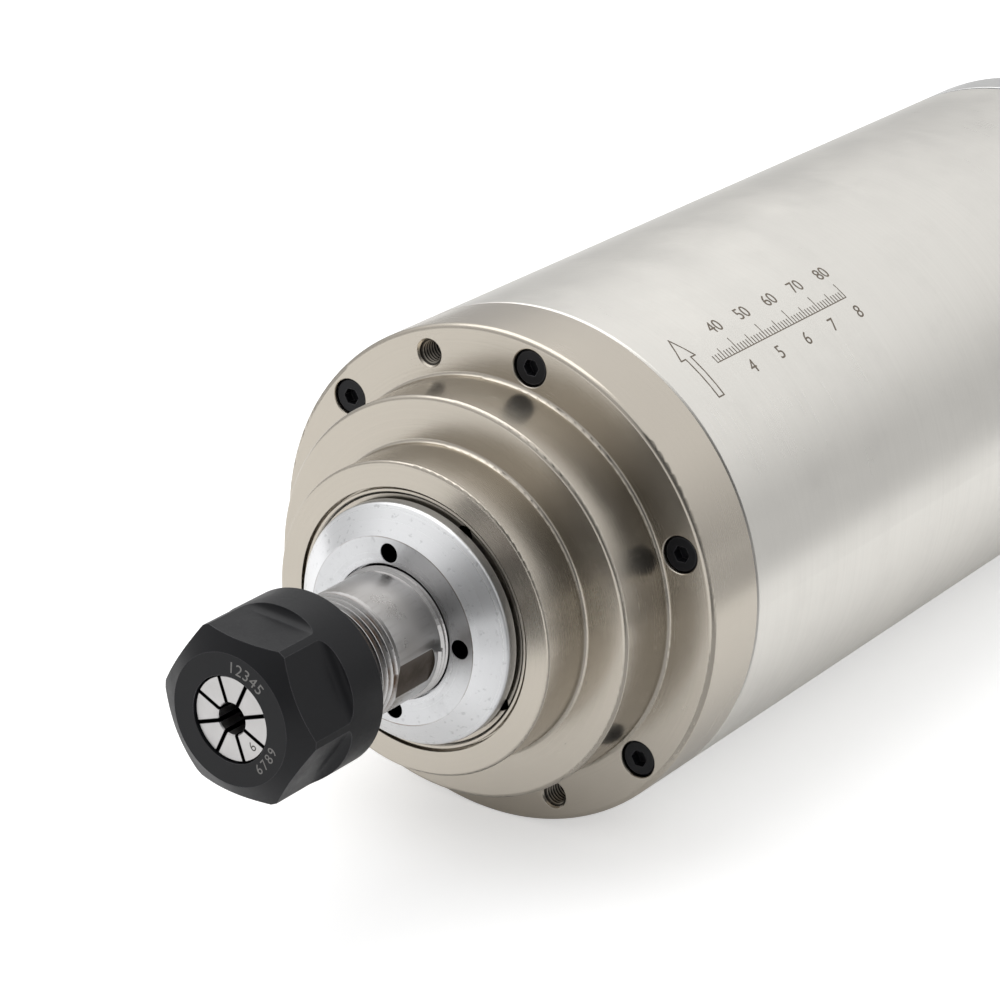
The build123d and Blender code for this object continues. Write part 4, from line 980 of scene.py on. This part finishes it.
class SPINDLE_OT_stage(bpy.types.Operator):
    """Build the pale floor, the soft light and the camera"""
    bl_idname = "spindle.stage"
    bl_label = "Stage"

    def execute(self, context):
        self.add_floor()
        self.add_room()
        self.add_cards()
        self.add_world()
        self.add_softbox()
        self.add_camera()
        context.scene.view_settings.view_transform = "Standard"
        return {"FINISHED"}

    def add_set_piece(self, name, shape, material, in_sight=True):
        piece = mesh_piece(name, shape, material)
        piece.visible_camera = in_sight
        piece.visible_diffuse = in_sight
        piece.visible_shadow = in_sight

    def add_floor(self):
        """Pale floor. It adds a little light for the camera and for reflections, and keeps the shadow. In
        reflections the added light fades out under and behind the body, a painted shadow.
        """
        settings = stage()
        shape = bmesh.new()
        bmesh.ops.create_circle(shape, cap_ends=True, segments=96, radius=settings.room_radius)
        bmesh.ops.translate(shape, verts=shape.verts, vec=(0.0, 0.0, -SLEEVE_RADIUS))
        material, tree = start_material("pale_floor")
        camera = add(tree, "ShaderNodeLightPath").outputs["Is Camera Ray"]
        spot = add(tree, "ShaderNodeSeparateXYZ", {0: place(tree)})
        # Painted shadow: in reflections the floor's added light fades out under and behind the body.
        beside = spread(tree, calc(tree, "ABSOLUTE", spot.outputs["X"]), 0.012, 0.07)
        before = spread(tree, spot.outputs["Y"], -0.06, 0.02, 1.0, 0.0)
        clear = times(tree, calc(tree, "MAXIMUM", beside, before), settings.floor_gloss)
        lift = times(tree, background_rays(tree), clear)
        lift = calc(tree, "MAXIMUM", lift, times(tree, camera, settings.floor_lift))
        matte = add(tree, "ShaderNodeBsdfDiffuse", {"Color": (0.82, 0.82, 0.82, 1.0)})
        lift = add(tree, "ShaderNodeEmission", {"Strength": lift})
        both = add(tree, "ShaderNodeAddShader", {0: matte.outputs[0], 1: lift.outputs[0]})
        add(tree, "ShaderNodeOutputMaterial", {"Surface": both.outputs[0]})
        self.add_set_piece("floor", shape, material)

    def add_room(self):
        """Round wall of the studio, out of the camera's sight. It is dim near the floor, darkest behind the
        camera, and white where it meets the world above it."""
        settings = stage()
        shape = bmesh.new()
        bmesh.ops.create_cone(
            shape, cap_ends=False, segments=96,
            radius1=settings.room_radius, radius2=settings.room_radius, depth=settings.room_height,
        )
        middle = settings.room_height / 2 - SLEEVE_RADIUS
        bmesh.ops.translate(shape, verts=shape.verts, vec=(0.0, 0.0, middle))
        bmesh.ops.reverse_faces(shape, faces=shape.faces)
        material, tree = start_material("studio_wall")
        coords = place(tree)

        def toward(turn):
            """Cosine of the angle between a place on the wall and a direction, from the front towards +X."""
            way = (sin(turn) / settings.room_radius, -cos(turn) / settings.room_radius, 0.0)
            return dot(tree, coords, way)

        front = spread(tree, toward(radians(20.0)), -0.2, 0.7)
        camera_side = spread(tree, toward(radians(45.0)), 0.75, 0.985, 0.0, 0.5)
        back_right = spread(tree, toward(radians(140.0)), 0.3, 0.95, 0.0, 0.08)
        back_left = spread(tree, toward(radians(-140.0)), 0.3, 0.95, 0.0, 0.05)
        level = minus(tree, 0.6, plus(tree, back_left, back_right))
        level = minus(tree, level, camera_side)
        height = add(tree, "ShaderNodeSeparateXYZ", {0: coords}).outputs["Z"]
        near_rise = spread(tree, height, 0.9, 3.2)
        right = toward(radians(90.0))
        rise_start = spread(tree, right, -0.2, 0.3, 0.4, 0.0)
        rise_end = spread(tree, right, -0.2, 0.3, 1.15, 0.75)
        far_rise = spread(tree, height, rise_start, rise_end)
        rise = mix_value(tree, front, far_rise, near_rise)
        level = plus(tree, level, times(tree, rise, minus(tree, 1.0, level)))
        glow = add(tree, "ShaderNodeEmission", {"Strength": level})
        add(tree, "ShaderNodeOutputMaterial", {"Surface": glow.outputs[0]})
        self.add_set_piece("studio_wall", shape, material, in_sight=False)

    def add_cards(self):
        """Low cards that only the metal sees: two dark ones at the camera's side and a grey one behind. The
        nearer dark one is a painted shadow: it stands in for the floor's shade by the object.
        """
        turn = stage().azimuth
        lift = 0.001 - SLEEVE_RADIUS
        ahead = Vector((sin(turn), -cos(turn), 0.0))
        right = Vector((cos(turn), sin(turn), 0.0))
        for name, corner, first, second, level in (
            # Painted shadow: the first card stands in for the shaded floor by the object, as reflections see
            # it.
            ("floor_shade_card", ahead * 0.03 + right * 0.004, ahead * 0.15, right * 0.2, 0.5),
            ("dark_card", ahead * 0.18 + right * 0.004, ahead * 0.7, right * 0.6, 0.2),
            ("grey_card", Vector((0.16, 0.1, 0.0)), Vector((0.5, 0.0, 0.0)), Vector((0.0, 0.8, 0.0)), 0.56),
        ):
            shape = bmesh.new()
            spots = (corner, corner + first, corner + first + second, corner + second)
            shape.faces.new([shape.verts.new((spot.x, spot.y, lift)) for spot in spots])
            material, tree = start_material(name)
            glow = add(tree, "ShaderNodeEmission", {"Strength": level})
            add(tree, "ShaderNodeOutputMaterial", {"Surface": glow.outputs[0]})
            self.add_set_piece(name, shape, material, in_sight=False)

    def add_world(self):
        """White for the camera and for reflections, and a little dimmer as a light."""
        world = bpy.data.worlds.new("studio")
        bpy.context.scene.world = world
        world.use_nodes = True
        tree = world.node_tree
        tree.nodes.clear()
        strength = spread(tree, background_rays(tree), 0.0, 1.0, stage().sky, 1.0)
        white = add(tree, "ShaderNodeBackground", {"Color": (1.0, 1.0, 1.0, 1.0), "Strength": strength})
        add(tree, "ShaderNodeOutputWorld", {"Surface": white.outputs[0]})

    def aim(self, name, data, where, back):
        """Puts a lamp or a camera at a point, looking away from the direction back."""
        holder = bpy.data.objects.new(name, data)
        holder.location = where
        holder.rotation_mode = "QUATERNION"
        holder.rotation_quaternion = (-back).to_track_quat("-Z", "Y")
        bpy.context.scene.collection.objects.link(holder)
        return holder

    def add_softbox(self):
        """Square lamp high above the object, a little towards -X."""
        where = Vector((-0.35, 0.10, 1.25))
        lamp = bpy.data.lights.new("key_softbox", "AREA")
        lamp.shape = "RECTANGLE"
        lamp.size = lamp.size_y = 1.4
        lamp.energy = stage().key_power
        self.aim("key_softbox", lamp, where, where)

    def add_camera(self):
        settings = stage()
        turn, lift = settings.azimuth, settings.elevation
        back = Vector((sin(turn) * cos(lift), -cos(turn) * cos(lift), sin(lift)))
        right = (-back).cross(Vector((0.0, 0.0, 1.0))).normalized()
        up = right.cross(-back)
        lens = bpy.data.cameras.new("camera")
        lens.lens = settings.lens
        lens.sensor_width = 36.0
        lens.clip_start = 0.01
        lens.clip_end = 20.0
        where = back * settings.distance + right * settings.aim_right + up * settings.aim_up
        bpy.context.scene.camera = self.aim("camera", lens, where, back)


STEPS = (
    SPINDLE_OT_nose_thread, SPINDLE_OT_cap_thread, SPINDLE_OT_jack_threads, SPINDLE_OT_socket_thread,
    SPINDLE_OT_sleeve_marks, SPINDLE_OT_face_numbers, SPINDLE_OT_body_finish, SPINDLE_OT_nose_finish,
    SPINDLE_OT_bearing_finish, SPINDLE_OT_motor_finish, SPINDLE_OT_fitting_finish, SPINDLE_OT_stage,
)


class SPINDLE_PT_panel(bpy.types.Panel):
    """Lists the spindle's steps"""
    bl_label = "Spindle"
    bl_idname = "SPINDLE_PT_panel"
    bl_space_type = "VIEW_3D"
    bl_region_type = "UI"
    bl_category = "Spindle"

    def draw(self, context):
        for step in STEPS:
            self.layout.operator(step.bl_idname)


CLASSES = (SpindleSizes, SpindleColours, SpindleStage, *STEPS, SPINDLE_PT_panel)


def register():
    for item in CLASSES:
        bpy.utils.register_class(item)
    bpy.types.Scene.spindle_sizes = bpy.props.PointerProperty(type=SpindleSizes)
    bpy.types.Scene.spindle_colours = bpy.props.PointerProperty(type=SpindleColours)
    bpy.types.Scene.spindle_stage = bpy.props.PointerProperty(type=SpindleStage)


def unregister():
    del bpy.types.Scene.spindle_stage
    del bpy.types.Scene.spindle_colours
    del bpy.types.Scene.spindle_sizes
    for item in reversed(CLASSES):
        bpy.utils.unregister_class(item)


def main():
    register()
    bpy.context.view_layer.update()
    for step in STEPS:
        group, name = step.bl_idname.split(".")
        getattr(getattr(bpy.ops, group), name)()


if __name__ == "__main__":
    main()
